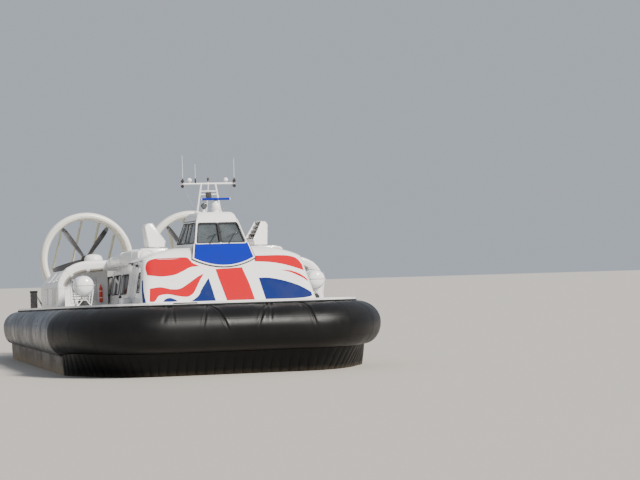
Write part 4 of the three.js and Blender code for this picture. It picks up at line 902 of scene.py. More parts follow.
gutter, foot_line = house_line(5.553, 0.006, 0, 0.02, 0.012), house_line(4.34, 0.004, 0.1, 0.3, 0.014)
piece("wheelhouse_mouldings", twice(gutter, foot_line), seal)
z = np.linspace(4.7, 5.58, 12)
piece("screen_pillars", twice(tube(xyz(house_half(z) - 0.012, front_line(z) + 0.004, z), 0.026)), white)

# %% [markdown]
# ## Cabin sides
# Each side wall has three dark windows, a door near the bow, and the small things that
# hang on a working boat: lamps, a lifebuoy in its rack, a locker, an extinguisher and the
# pipes that drain the roof. The wall leans in, so plates are drawn in the wall's plane.

# %% Windows, bars and doors
WALL_LEAN = math.hypot(1, LEAN)
side_wall = wall_at((0, 1, 0), (-LEAN, 0, 1), (CABIN_HALF, 0, 0))
on_side = lambda y, h, out: on_wall(side_wall, (y, h * WALL_LEAN, out))
wall_quad = lambda y0, y1, h0, h1: rectangle(y0, y1, h0 * WALL_LEAN, h1 * WALL_LEAN)
wall_plate = lambda y0, y1, h0, h1, low, high, edge: plate(wall_quad(y0, y1, h0, h1), low, high, side_wall, edge)
WINDOWS = ((-6.23, -4.77), (-4.52, -2.86), (-2.5, -0.84))
frames = [pane_frame(wall_quad(a, b, 0.47, 1.18), side_wall, 0.03, 0.12) for a, b in WINDOWS]
pair("window_frames", on_deck(frames), seal)
a, b = WINDOWS[1]
bars = [wall_plate(y, y + 0.07, 0.47, 1.18, -0.04, 0.006, 0.006) for y in (a + 0.42, b - 0.34)]
leaning = [(a + 0.46, 0.84), (b - 0.3, 1.04), (b - 0.3, 1.15), (a + 0.46, 0.95)]
bars.append(plate(leaning, -0.038, 0.004, side_wall, 0.006))
piece("window_bars", twice(on_deck(bars)), white)

HINGE_Y = -8.06
door_front = lambda h: -9.18 + (h - 0.09) * 0.3709
at_edge = lambda h, out: on_side(door_front(h) + 0.045, h, out)
door_pane = np.array([(-8.93, 0.48), (-8.35, 0.48), (-8.35, 1.18), (-8.7, 1.18)]) * (1, WALL_LEAN)
lip = [(door_front(0.1) + 0.02, 0.11), (-8.09, 0.11), (-8.09, 1.59), (door_front(1.57) + 0.02, 1.59)]
lip = np.array(lip) * (1, WALL_LEAN)
lip = plate(soft_corners(lip, 0.08), 0.0005, 0.008, side_wall, 0.003, hollow=soft_corners(inset(lip, 0.05), 0.05))
metal = [tube([at_edge(*place) for place in ((0.72, 0), (0.72, 0.05), (0.96, 0.05), (0.96, 0))], 0.011),
         rod(at_edge(0.63, 0.001), at_edge(0.63, 0.02), 0.022, 18)]
for h in (0.3, 0.85, 1.4):
    metal += [rod(on_side(HINGE_Y, h - 0.07, 0), on_side(HINGE_Y, h + 0.07, 0), 0.014),
              wall_plate(HINGE_Y - 0.115, HINGE_Y - 0.012, h - 0.035, h + 0.035, 0.0005, 0.0095, 0.003)]
for name, shape, material in (
        ("pane_frame", pane_frame(door_pane, side_wall, 0.03, 0.06), seal), ("rib", lip, white),
        ("pane", plate(inset(door_pane, 0.001), -0.012, -0.006, side_wall, 0.001), tinted), ("handle", metal, alloy)):
    pair("door_" + name, on_deck(shape), material, body="cabin_door")

# %% Seam strips, drain pipes, gutter and lamps
trim = [wall_plate(y - 0.022, y + 0.022, 0.03, 1.62, 0.0005, 0.006, 0.002) for y in (-6.75, -4.645, -2.68)]
trim += [wall_plate(-7.9, 2.5, 0.3, 0.335, 0.0005, 0.01, 0.003),
         wall_plate(-8.0, 2.5, 1.605, 1.64, 0.0005, 0.03, 0.006)]
for y in (-7.15, -7.62):
    trim.append(tube([on_side(y, 0.02, 0.035), on_side(y, 1.52, 0.035), on_side(y, 1.66, 0.02)], 0.02, 12))
    trim += [wall_plate(y - 0.05, y + 0.05, h - 0.02, h + 0.02, 0.001, 0.03, 0.004) for h in (0.3, 0.85, 1.4)]
piece("side_trim", twice(on_deck(trim)), white)
# Dark strip just under the gutter: painted shadow line.
piece("gutter_shadow_line", twice(on_deck(wall_plate(-7.0, 2.4, 1.575, 1.603, 0.0005, 0.012, 0.003))), seal)
lamps = [wall_plate(-7.08, -6.86, 1.49, 1.57, 0.001, 0.1, 0.01),
         wall_plate(-7.95, -7.8, 1.42, 1.5, 0.001, 0.09, 0.01)]
piece("side_lamps", twice(on_deck(lamps)), dark)

# %% Lifebuoy in its rack, locker and extinguisher
rack = [block((3.42, -6.98, 0.002), (3.46, -6.42, 0.3), 0.006, 0.01),
        block((3.36, -6.98, 0.002), (3.52, -6.94, 0.04), 0.004, 0.01),
        block((3.3, -7.62, 0.002), (3.62, -7.08, 0.27), 0.02, 0.03),
        block((3.28, -7.64, 0.27), (3.64, -7.06, 0.295), 0.008, 0.03)]
turn = circle(40)
buoy = tube(xyz(3.5, -6.7 + 0.2 * np.cos(turn), 0.21 + 0.185 * np.sin(turn)), 0.026, 14, closed=True)
FLASK = mm(0, 120, 50, 125, 68, 150, 70, 200, 70, 620, 60, 680, 30, 720, 22, 760, 30, 770, 30, 800, 0, 800)
flask = turned(FLASK, (3.58, -2.73, 0.08), sides=32)
mount = [block((3.5, -2.665, 0.14), (3.67, -2.645, 0.98), 0.004, 0.01)]
mount += [turned(rectangle(0.072, 0.076, z, z + 0.03), (3.58, -2.73, 0), sides=32, closed=True) for z in (0.36, 0.62)]
piece("lifebuoy_racks", twice(on_deck(rack)), shade_white)
piece("lifebuoys", twice(on_deck(buoy)), seal)
piece("extinguishers", twice(on_deck(flask)), orange)
piece("extinguisher_mounts", twice(on_deck(mount)), shade_white)

# %% Roof handrails, and painted shadow in the lashing slot of the deck's rim
HOOP = mm(2200, 4250, 2250, 4430, 2380, 4520, 2550, 4520, 2680, 4420, 2750, 4160)
hoops = [tube(smooth_line([(x, y, z) for x, z in HOOP], 30), 0.02, 12) for y in (-7.0, -6.78)]
piece("roof_hoops", twice(*hoops, rod((2.46, -7.0, 4.53), (2.46, -6.78, 4.53), 0.016, 10)), white)
slot_low, slot_high = DECK_BOW[1] + 0.016, DECK_BOW[1] + 0.052
# A dark bar in the rim: painted shadow inside the slot.
piece("rim_slot_shadow", block((-2.33, -10.928, slot_low), (-1.45, -10.912, slot_high), 0.004, 0.006), seal)

# %% [markdown]
# ## Mast, aerials and lights
# The mast is a bent frame of white pipe on the wheelhouse roof. Pipes are circles carried
# along their centre lines, which is also how a yard would list them: a line and a size.

# %% Mast of white pipe
MAST_Y, BAR_Z = -6.5, 6.986
across = lambda x, z, radius, sides: rod((-x, MAST_Y, z), (x, MAST_Y, z), radius, sides)
pipes = [rod((side * 0.47, MAST_Y, 5.8), (side * 0.27, MAST_Y, 6.99), 0.038, 18) for side in (1, -1)]
pipes += [rod((0, -5.98, 5.8), (0, MAST_Y, 6.966), 0.032, 16), rod((0, MAST_Y, 6.97), (0, MAST_Y, 7.21), 0.02, 14),
          across(1.039, BAR_Z, 0.034, 18), across(0.33, 6.7, 0.024, 14), across(0.355, 6.58, 0.024, 14)]
FOOT = mm(0, 5872, 95, 5872, 95, 5892, 60, 5900, 48, 5930, 0, 5930)
DOME = mm(0, 0, 35, 0, 35, 50, 85, 70, 92, 100, 85, 140, 60, 175, 30, 190, 0, 195)
pipes += [turned(FOOT, (x, y, 0), sides=24) for x, y in ((-0.47, MAST_Y), (0.47, MAST_Y), (0, -5.98))]
pipes += [turned(DOME, (x, MAST_Y, 7.015), sides=28) for x in (-0.72, 0.68)]
piece("mast_pipes", pipes, white, replaces=["mast"])

# %% Whip aerials, navigation light, junction box and stays
SOCKET = mm(0, 6990, 30, 6990, 30, 7140, 16, 7200, 0, 7200)
TOP_LIGHT = mm(0, 7070, 45, 7070, 45, 7090, 38, 7100, 38, 7170, 46, 7180, 30, 7210, 0, 7215)
WHIPS = ((-0.975, 8.07), (-0.49, 7.73), (1.01, 7.94))
taper = np.linspace(0.011, 0.006, 12)
whips = [tube(xyz(x, MAST_Y, np.linspace(7.0, top - 0.001, 12)), taper, 8) for x, top in WHIPS]
piece("whip_aerials", whips, shade_white)
fittings = [turned(SOCKET, (x, MAST_Y, 0), sides=18) for x, _ in WHIPS]
fittings += [turned(TOP_LIGHT, (0, MAST_Y, 0), sides=24), block((-0.1, -6.6, 6.44), (0.1, -6.47, 6.66), 0.012, 0.02)]
piece("mast_fittings", fittings, dark)
stays = (((-0.95, MAST_Y, 6.97), (-0.6, -6.9, 5.875)), ((0.95, MAST_Y, 6.97), (0.62, -6.1, 5.875)))
piece("mast_stays", [rod(*ends, 0.006, 8) for ends in stays], alloy)

# %% Floodlights: a drum with cooling fins, a rim and a lens
LAMP = mm(0, 130, 30, 130, 45, 110, 45, 90, 56, 88, 56, 76, 50, 74, 50, 64, 58, 62, 58, 50, 52, 48, 52, 30, 62, 26,
          62, 0, 54, 0, 50, 12, 0, 12)
LENS = mm(0, 11, 49, 11, 45, 5, 30, 1, 0, -1)
places = [(x, -6.57, BAR_Z + z) for x in (-0.999, 0.999) for z in (-0.095, 0.095)]
piece("floodlights", [turned(LAMP, at, "y", 32) for at in places], brown)
piece("floodlight_lenses", [turned(LENS, at, "y", 24) for at in places], tinted)

# %% [markdown]
# ## Radar and searchlight
# The radar's bar turns on a white pedestal, and the searchlight on its own short stand.
# Both ride on their CAD bodies, so the bearings stay where the frame has them.

# %% Radar pedestal and scanner
RADAR = (0.12, -7.18, 0)
PEDESTAL = mm(0, 5880.3, 160, 5880.3, 160, 5900, 130, 5910, 135, 5950, 165, 6000, 180, 6060, 178, 6120, 160, 6180,
              120, 6230, 75, 6255, 60, 6290, 50, 6300, 0, 6300)
HUB = mm(0, 6303, 40, 6303, 40, 6320, 70, 6328, 70, 6340, 0, 6340)
piece("radar_drum", turned(PEDESTAL, RADAR), white, replaces=["radar_pedestal"])
bar = [plate(rounded(1.16, 0.11, 0.05, 6), 6.331, 6.419, edge=0.022), turned(HUB, (0, 0, 0), sides=32)]
caps = [plate(rounded(0.03, 0.118, 0.012, 3) + (x, 0), 6.329, 6.421) for x in (0.545, -0.545)]
piece("scanner_bar", moved(joined(bar), RADAR), blue, "radar_scanner", ["radar_scanner"])
piece("scanner_caps", moved(joined(caps), RADAR), shade_white, "radar_scanner")

# %% Searchlight
STAND = mm(0, 5880.3, 90, 5880.3, 90, 5895, 62, 5910, 58, 5980, 65, 5990, 65, 6002, 0, 6002)
DRUM = mm(0, 110, 40, 108, 80, 85, 100, 50, 100, 0, 104, -5, 104, -20, 100, -25, 100, -85, 109, -90, 109, -110,
          98, -110, 94, -98, 0, -98)
PANE = mm(0, -99, 93, -99, 88, -103, 50, -107, 0, -108)
centre = np.array([-0.33, -7.13, 6.13])
piece("light_stand", turned(STAND, (-0.33, -7.13, 0), sides=36), white, replaces=["searchlight_stand"])
drum = [turned(DRUM, centre, "y"), turned([(0, -0.116), (0.05, -0.116), (0.05, -0.1), (0, -0.1)], centre, sides=24)]
drum += [rod(centre + (side * 0.095, 0, 0), centre + (side * 0.112, 0, 0), 0.022) for side in (1, -1)]
piece("searchlight_drum", drum, dark, "searchlight", ["searchlight"])
piece("searchlight_lens", turned(PANE, centre, "y", 40), screen, "searchlight")

# %% [markdown]
# ## Air trunks and bow thrusters
# Air from each lift fan goes through an arch over the life raft and along the roof's edge
# to a swivelling elbow at the bow. A trunk is one section carried along a curve: the
# section is a superellipse, a rounded rectangle whose corner is set by one power.

# %% Arch and trunk
def powered(v, power):
    return np.sign(v) * np.abs(v) ** power


def superellipse(power, count=40):
    """cos and sin of an even turn, each raised to a power below one, with its sign kept."""
    turn = circle(count)
    return powered(xyz(np.cos(turn), np.sin(turn)), power)


TRUNK = [(-2.8, 3.23, 4.04, 0.21, 0.165), (-3.9, 3.13, 4.11, 0.205, 0.215), (-5.0, 3.0, 4.2, 0.205, 0.265),
         (-5.9, 2.8, 4.26, 0.2, 0.29), (-6.45, 2.56, 4.32, 0.19, 0.23)]
ARCH_Y, CROWN_X = (-3.18, -2.72), 4.06


def arch_line(wide, low, high, foot_x, end_z):
    """A quarter ellipse as (x, z), led down to the deck and in over the roof's edge."""
    t = np.linspace(0, np.pi / 2, 26)
    curve = xyz(CROWN_X + wide * np.cos(t), low + high * np.sin(t))
    return np.concatenate([[(foot_x, float(deck_z(ARCH_Y[0])) + 0.004)], curve, [(3.55, end_z), (3.0, end_z)]])


ARCH_LINES = arch_line(1.29, 3.2, 1.0, 5.35, 4.208), arch_line(0.97, 3.15, 0.62, 5.03, 3.79)


def arch_points(ring, grow=0.0, first=0, last=None):
    outer, inner = (line[first:last, None] for line in ARCH_LINES)
    half = np.linalg.norm(outer - inner, axis=-1, keepdims=True) / 2 + grow
    x, z = np.moveaxis((outer + inner) / 2 + unit(outer - inner) * half * ring[:, :1], -1, 0)
    return xyz(x, sum(ARCH_Y) / 2 + (0.23 + grow) * ring[:, 1], z)


def arch_tube(grow=0.0, first=0, last=None):
    return skin(arch_points(superellipse(0.55), grow, first, last))


def trunk_tube(rows, grow=0.0):
    y, x, z, wide, high = (v[:, None] for v in rows.T)
    ring = superellipse(0.6)
    return skin(xyz(x + (wide + grow) * ring[:, 0], y, z + (high + grow) * ring[:, 1]))


rows = smooth_line(TRUNK, 49)
base = on_deck(block((1.56, -6.48, 1.55), (2.66, -5.36, 2.1397), 0.035, 0.14))
pair("air_trunk_skin", [arch_tube(), trunk_tube(rows), base], white, "air_trunk", smooth=50)
bands = [arch_tube(0.009, k, k + 3) for k in (1, 13, 24)] + [trunk_tube(rows[k:k + 3], 0.01) for k in (8, 24, 38)]
pair("trunk_clamps", bands, shade_white, smooth=50)
# The arch's inner face is painted darker grey-brown: painted shade under the arch.
inner_part = superellipse(0.55, 120)[34:87]
shade_band = sandwich(*(arch_points(inner_part, grow, 1, -1) for grow in (0.005, -0.004)))
pair("arch_inner_shade", shade_band, arch_shade, smooth=50)
# A dark disc on the trunk's seat inside the elbow's collar: painted shadow in the throat.
hole = on_deck(turned([(0, 2.1395), (0.205, 2.1395), (0.205, 2.1412), (0, 2.1412)], (1.96, -5.78, 0), sides=40))
pair("trunk_throat_shadow", hole, shadow)

# %% [markdown]
# The elbow is sheet metal: two cheeks that lean together, a sheet wrapped round them on
# the bottom, back and top, and four vanes in the slanted outlet. It is drawn upright with
# its outlet aft, then turned about its bearing to where the frame holds it.

# %% Thruster elbows
ELBOW = mm(330, 230, 300, 30, -330, 30, -430, 700, -440, 810, -360, 910, -250, 930, -150, 930)
LINING = mm(-170, 902, -250, 902, -350, 883, -410, 800, -402, 700, -302, 58, 272, 58, 300, 215)
centre_wall = wall_at((0, 1, 0), (0, 0, 1), (0, 0, 0))
cheek_half = lambda z: 0.3 - 0.11 * z / 0.98


def elbow_sheet(corners, radius, steps, low, high, edge):
    """Plate across the elbow, made narrower upwards in proportion to the cheeks' distance."""
    ring = soft_corners(corners, radius, steps)
    points, faces = plate(ring[::-1], low, high, centre_wall, edge)
    return points * xyz(cheek_half(points[:, 2]) / 0.3, 1, 1), faces


sheets = [elbow_sheet(np.concatenate([ELBOW, LINING]), 0.01, 3, -0.3, 0.3, 0.003)]
sheets += [elbow_sheet(ELBOW, 0.045, 6, low, low + 0.028, 0.01) for low in (-0.3, 0.272)]
corner = np.array([(side * (cheek_half(z) - 0.004), y, z) for side, y, z in
                   ((1, -0.15, 0.93), (1, 0.33, 0.23), (-1, 0.33, 0.23), (-1, -0.15, 0.93))])
rim_path = np.concatenate([np.linspace(a, b, 9)[:-1] for a, b in zip(corner, np.roll(corner, -1, 0))])
COLLAR = mm(215, 1, 285, 1, 285, 18, 250, 22, 245, 45, 215, 45)
elbow = sheets + [tube(rim_path, 0.016, closed=True), turned(COLLAR, (0, 0, 0), sides=64, closed=True)]
vanes = []
for z in (0.3, 0.45, 0.6, 0.75):
    rear, width = -0.15 + (0.93 - z) / 0.7 * 0.48, cheek_half(z) - 0.012
    vanes.append(block((-width, rear - 0.19, z - 0.008), (width, rear - 0.02, z + 0.008), 0.006, 0.004))
turn = np.radians(np.arange(15, 360, 30))
bolts = [rod((x, y, 0.016), (x, y, 0.03), 0.011, 6) for x, y in 0.268 * xyz(np.cos(turn), np.sin(turn))]
motor = [rod((0.1, -0.05, 0.42), (0.1, 0.1, 0.42), 0.03, 16), rod((0.1, 0.1, 0.42), (0.1, 0.17, 0.42), 0.045, 18),
         rod((-0.08, -0.1, 0.52), (-0.08, 0.06, 0.66), 0.018)]
SWING = {"port": 26, "starboard": 6}
seat_z = float(deck_z(-6.48)) + 2.07 + 0.07 + 0.01
for name, side in SIDES:
    body = "bow_thruster_" + name
    swung = math.radians(side * 90 + SWING[name])
    s, c = math.sin(swung), math.cos(swung)
    for part, shapes, material in (("elbow_", elbow, white), ("elbow_vanes_", vanes, shade_white),
                                   ("elbow_bolts_", bolts, alloy), ("elbow_motor_", motor, brown)):
        points, faces = joined(shapes)
        shape = points @ np.array([[c, s, 0], [-s, c, 0], [0, 0, 1]]) + (side * 1.96, -5.78, seat_z), faces
        piece(part + name, shape, material, body, [body] if part == "elbow_" else ())
print("elbow seat", round(seat_z, 4))

# %% [markdown]
# ## Propulsion
# Each duct is a hollow ring of laminate with a wing-like section, and its nose is round so
# that air enters cleanly. Turning one profile about the shaft gives it, and the same
# function makes the gearbox fairing inside. A lens-shaped strut holds the fairing up.

# %% Ducts, fairings and struts
DUCT = np.array([2.379, 0, 4.329])
RING = mm(1760, 8500, 1775, 8380, 1820, 8300, 1870, 8262, 1925, 8250, 1980, 8265, 2030, 8310, 2068, 8390,
          2086, 8490, 2084, 8620, 2066, 8850, 2020, 9080, 1950, 9370, 1886, 9640, 1880, 9650, 1845, 9650,
          1840, 9640, 1800, 9350, 1765, 9070, 1760, 9000)
FAIRING = mm(0, 8920, 190, 8920, 195, 9000, 195, 9200, 185, 9320, 165, 9440, 140, 9530, 90, 9610, 40, 9638, 0, 9642)
RUDDER_Y, CHORD, NOSE, CANT, REACH, PLACES = 9.88, 0.62, 0.15, math.radians(14), 1.86, (-1.2, -0.4, 0.4, 1.2)


def strut(inner=0.17, outer=1.79, half=0.095, front=8.97, back=9.6):
    """Strut down from the shaft: its section is a lens, thick by the sine of the chord."""
    chord = np.linspace(0, np.pi, 9)
    y, thick = (front + back) / 2 - (back - front) / 2 * np.cos(chord), half * np.sin(chord)
    section = np.concatenate([xyz(thick, y), xyz(-thick, y)[-2:0:-1]])
    return skin(xyz(section[:, 0], section[:, 1], -np.linspace(inner, outer, 6)[:, None]))


def rudder_post(place, side):
    """Frame of a rudder's pivot, across, aft and up from its middle, and half its length."""
    across = np.array([math.cos(CANT), 0, side * math.sin(CANT)])
    middle = DUCT * (side, 0, 1) + (0, RUDDER_Y, 0) + across * place
    return wall_at(across, (0, 1, 0), middle), math.sqrt(REACH**2 - place**2)


x, y = np.linspace(-0.9, 0.9, 15), np.linspace(8.5, 9.5, 5)[:, None]
foot = sandwich(xyz(x, y, -1.95 * np.sqrt(1 - (x / 1.95) ** 2)), xyz(x, y, deck_z(y) - DUCT[2] + 0.001))
shapes = [turned(RING, DUCT, "y", 128, closed=True), turned(FAIRING, DUCT, "y"), moved(joined([strut(), foot]), DUCT)]
for place in PLACES:
    post, reach = rudder_post(place, 1)
    shapes += [plate(rounded(0.13, 0.47, 0.05) - (0, 0.14), z - 0.03, z + 0.03, post, 0.008) for z in (-reach, reach)]
pair("duct_ring", shapes, cream, "duct")
bands = [[(1.933, 8.246), (1.941, 8.253), (1.933, 8.26), (1.925, 8.253)]]
bands += [[(1.755, y), (1.7605, y - 0.02), (1.7605, y + 0.02)] for y in (8.7, 8.9)]
pair("duct_wear_bands", [turned(band, DUCT, "y", 128, closed=True) for band in bands], alloy)

# %% [markdown]
# A propeller blade is a wing that twists: steep at the hub, flat at the tip. Its section
# is carried along a curved line of radii, and the five blades are one blade turned about
# the shaft. The hub ends in a spinner towards the bow.

# %% Propellers
BLADE = [(0.12, 0.23, 0.09, 62), (0.42, 0.29, 0.06, 50), (0.9, 0.31, 0.042, 38), (1.4, 0.27, 0.026, 28),
         (1.66, 0.2, 0.016, 25), (1.735, 0.09, 0.009, 24)]  # radius, chord, thickness, twist in degrees
SPINNER = mm(0, -360, 30, -355, 80, -330, 115, -270, 150, -200, 175, -100, 190, 0, 190, 98, 0, 98)


def blade():
    """Wing section at each radius: chord by (1 - cos t) / 2, thickness by sine, fuller in front."""
    r, chord, thick, twist = (v[:, None] for v in smooth_line(BLADE, 28).T)
    t, turn = circle(22), np.radians(twist)
    along = -0.5 * np.cos(t) * chord
    off = np.sin(t) * thick * 0.5 * (1 - 0.35 * (0.5 - 0.5 * np.cos(t)))
    return xyz(along * np.cos(turn) - off * np.sin(turn), along * np.sin(turn) + off * np.cos(turn), r)


one = blade()
cover = one[-9:]
middle = cover.mean(1, keepdims=True)
cover = middle + (cover - middle) * (1.03, 1.03, 1)
blades, hub, tips = [], [turned(SPINNER, (0, 0, 0), "y")], []
for turn in np.radians(36 - 72 * np.arange(5)):
    c, s = math.cos(turn), math.sin(turn)
    about = np.array([[c, 0, -s], [0, 1, 0], [s, 0, c]])
    blades.append(skin(one @ about))
    hub.append(tube(xyz(0, 0, [0.15, 0.22, 0.25, 0.26]) @ about, [0.075, 0.075, 0.065, 0.05], 20))
    tips.append(skin(cover @ about))
for name, side in SIDES:
    at, body = (side * DUCT[0], 8.8, DUCT[2]), "propeller_" + name
    piece("blades_" + name, moved(joined(blades), at), composite, body, [body], smooth=50)
    piece("hub_" + name, moved(joined(hub), at), dark, body, slot="blade")
    piece("blade_tips_" + name, moved(joined(tips), at), grey, body, smooth=50)

# %% Rudders: a lens section, end plates and a stock, leaning with their tops inboard
chord = CHORD * (0.5 - 0.5 * np.cos(circle(28)))
thick = 0.04 * powered(np.sin(circle(28)), 0.75) * (1 - 0.72 * (chord / CHORD) ** 2)
outline = xyz(thick, chord - NOSE)[::-1]
for name, side in SIDES:
    for i, place in enumerate(PLACES):
        post, reach = rudder_post(place, side)
        body, half, end = f"rudder_{name}_{4 - i if side > 0 else i + 1}", reach - 0.042, reach + 0.02
        shapes = [plate(outline, -half, half, post, 0.004)]
        for z in (-0.62 * half, 0, 0.62 * half):
            shapes.append(plate(inset(outline, -0.003), z - 0.02, z + 0.02, post, 0.003))
        points, faces = turned([(0, -end), (0.02, -end), (0.02, end), (0, end)], (0, 0, 0), sides=16)
        piece(body + "_skin", shapes + [(on_wall(post, points), faces)], rudder_cream, body, [body])

# %% [markdown]
# ## Side modules
# The boxes beside the cabin hold a lift fan in front and a diesel behind. Their sheet is
# already in the frame, so what is added is what a fitter would add to it: louvres, hatch
# covers with hinges and handles, seam strips, and a spun cowl over the fan's shaft.

# %% Cowl, louvres and hatches
COWL = mm(375, 20, 375, 50, 363, 60, 363, 1860, 355, 1920, 335, 1980, 300, 2030, 245, 2064, 170, 2085, 100, 2096,
          0, 2100)
COWL_BAND = mm(366, 1288, 374, 1288, 374, 1312, 362, 1312)
shoulder_wall = wall_at((0, 1, 0), (4.7 - 5.19, 0, 1.52 - 0.95), (5.19, 0, 0.95))
outer_wall, tail_wall = (wall_at((0, 1, 0), (0, 0, 1), (x, 0, 0)) for x in (5.19, 4.56))
bow_wall = wall_at((1, 0, 0), (0, 0, 1), (0, -2.64, 0))


def hatch(wall, y, high, width, height, thick=0.018):
    """Cover plate with a lifted rim, and the metal on it: two hinges above, a handle below."""
    cover = rounded(width, height, 0.05) + (y, high)
    at = lambda u, v, w: on_wall(wall, (y + u, high + v, w))
    hinge_v, grip_v = height / 2 + 0.008, -height * 0.36
    bends = ((-0.06, 0), (-0.06, 0.03), (0.06, 0.03), (0.06, 0))
    metal = [tube([at(u, grip_v, thick + w) for u, w in bends], 0.007, 8)]
    for u in (-width * 0.3, width * 0.3):
        metal.append(rod(at(u - 0.05, hinge_v, thick), at(u + 0.05, hinge_v, thick), 0.011, 10))
    return [plate(cover, 0.0005, thick, wall, 0.006), plate(inset(cover, -0.025), 0.0005, 0.008, wall, 0.003)], metal


def louvres(wall, u0, u1, v0, v1, count, depth=0.05):
    """Slats across a hole, each leaning out and down, in a frame."""
    step, ends = (v1 - v0) / count, np.array([[u0 + 0.002], [u1 - 0.002]])
    ring = lambda grow: rectangle(u0 - grow, u1 + grow, v0 - grow, v1 + grow)
    out, up = np.array([(-depth, 0.42), (-depth + 0.004, 0.46), (0.014, -0.36), (0.01, -0.4)]).T * [[1], [step]]
    slats = [skin(on_wall(wall, xyz(ends, v + up, out))) for v in v0 + (np.arange(count) + 0.5) * step]
    rim = plate(soft_corners(ring(0.05), 0.05), 0.0005, 0.02, wall, 0.005, hollow=soft_corners(ring(0), 0.02))
    return slats + [rim]


hatches = [hatch(outer_wall, y, 0.5, 0.95, 0.62) for y in (-0.2, 1.3)]
hatches += [hatch(shoulder_wall, y, 0.37, 1.0, 0.48) for y in (-1.2, 0.1, 1.5)]
hatches += [hatch(tail_wall, y, 0.48, 0.85, 0.62) for y in (3.6, 4.7, 5.8)]
covers, metal = (sum(parts, []) for parts in zip(*hatches))
for y in (-2.6, -0.85, 0.55, 2.71):
    covers.append(plate(rectangle(y - 0.02, y + 0.02, 0.02, 0.94), 0.0005, 0.005, outer_wall, 0.002))
vent, hole = (rounded(*size) + (3.9, 6.1) for size in ((0.72, 0.92, 0.05), (0.6, 0.8, 0.03)))
covers.append(plate(vent, 1.1805, 1.2, edge=0.005, hollow=hole))
bars = [block((3.6, y - 0.01, 1.172), (4.2, y + 0.01, 1.196), 0.004, 0.004) for y in np.arange(5.75, 6.5, 0.07)]
ribs = [plate(rounded(1.3, 0.74, 0.04) + (-1.7, 0.5), 0.0005, 0.006, outer_wall, 0.002)]
for y in np.linspace(-2.25, -1.15, 9):
    ribs.append(plate(rounded(0.075, 0.62, 0.02, 3) + (y, 0.5), 0.004, 0.022, outer_wall, 0.008))
cowl = [turned(profile, (3.75, -2.15, float(deck_z(-2.15))), sides=72) for profile in (COWL, COWL_BAND)]
pair("fan_cowl", cowl, white)
pair("module_covers", on_deck(covers), white)
pair("module_hinges", on_deck(metal), alloy)
pair("intake_louvres", on_deck(louvres(bow_wall, 3.7, 4.7, 0.25, 1.15, 9)), shade_white)
# A dark sheet behind the louvres: painted shadow inside the intake.
pair("intake_shadow_sheet", on_deck(block((3.66, -2.16, 0.22), (4.74, -2.15, 1.18), 0.003, 0.01)), shadow)
pair("ribbed_panel", on_deck(ribs), cream)
pair("vent_bars", on_deck(bars), grey)

# %% [markdown]
# ## Life rafts and deck fittings
# A raft comes in a white canister of two half shells, joined by a sealing band and held by
# straps on a cradle. Turning a profile gives the shell; the straps are thin rings with a
# buckle, because pulled tight they lie on the shell.

# %% Raft canisters
RAFT = np.array([4.548, 0, 3.256])
HALF_RAFT = mm(0, -675, 60, -672, 150, -660, 240, -630, 300, -585, 335, -530, 352, -460, 356, -400, 368, -385,
               370, -360, 358, -345, 358, -100, 370, -85, 371.5, -30)
STRAP = mm(373.5, -26, 377.5, -24, 377.5, 24, 373.5, 26)
at_raft = lambda y, x=0, z=0: RAFT + (x, y, z)
centre, strap_ys, beams = at_raft(-4.475), (-4.82, -4.13), (RAFT[0] + 0.25, RAFT[0] - 0.25)
profile = np.concatenate([HALF_RAFT, HALF_RAFT[::-1] * (1, -1)])
seams = twice(block((0.33, -0.5, -0.018), (0.374, 0.5, 0.018), 0.006, 0.01))
pair("raft_shell", [turned(profile, centre, "y", 72), moved(joined(seams), centre)], raft_white, "life_raft")
rim = profile[1:-1] * (1.01, 1.006)
belt = plate(np.concatenate([rim, rim[::-1] * (-1, 1)]), -0.011, 0.011, edge=0.003)
pair("raft_belt", moved(belt, centre), grey)
pair("raft_straps", [turned(STRAP, at_raft(y), "y", 72, closed=True) for y in strap_ys], blue)
metal = [block(at_raft(y - 0.035, 0.3, 0.17), at_raft(y + 0.035, 0.36, 0.27), 0.01, 0.01) for y in strap_ys]
metal.append(block(at_raft(-4.5, -0.05, 0.365), at_raft(-4.44, 0.05, 0.395), 0.008, 0.01))
metal += [on_deck(block((x - 0.055, y - 0.06, 0.001), (x + 0.055, y + 0.06, 0.012), 0.003, 0.01))
          for x in beams for y in (-4.93, -4.03)]
pair("raft_buckles", metal, alloy)
cradle = [on_deck(block((x - 0.04, -5.0, 0.001), (x + 0.04, -3.95, 0.08), 0.006, 0.01)) for x in beams]
turn = np.radians(np.linspace(-160, -20, 25))
for y in strap_ys:
    saddle = [at_raft(y + off) + r * xyz(np.cos(turn), 0, np.sin(turn))
              for r, off in ((0.379, -0.035), (0.379, 0.035), (0.393, 0.035), (0.393, -0.035))]
    cradle.append(skin(np.stack(saddle, 1)))
    for side in (1, -1):
        foot = (RAFT[0] + side * 0.25, y, float(deck_z(y)) + 0.07)
        cradle += [rod(foot, at_raft(y, side * 0.345, -0.16), 0.022),
                   rod(foot, at_raft(y, -side * 0.06, -0.385), 0.016)]
pair("raft_cradle_frame", cradle, white, "raft_cradle")
release = block((RAFT[0] - 0.2, -4.66, 0.06), (RAFT[0] + 0.2, -4.3, 0.27), 0.015, 0.03)
pair("raft_release", on_deck(release), dark, slot="grey_paint")

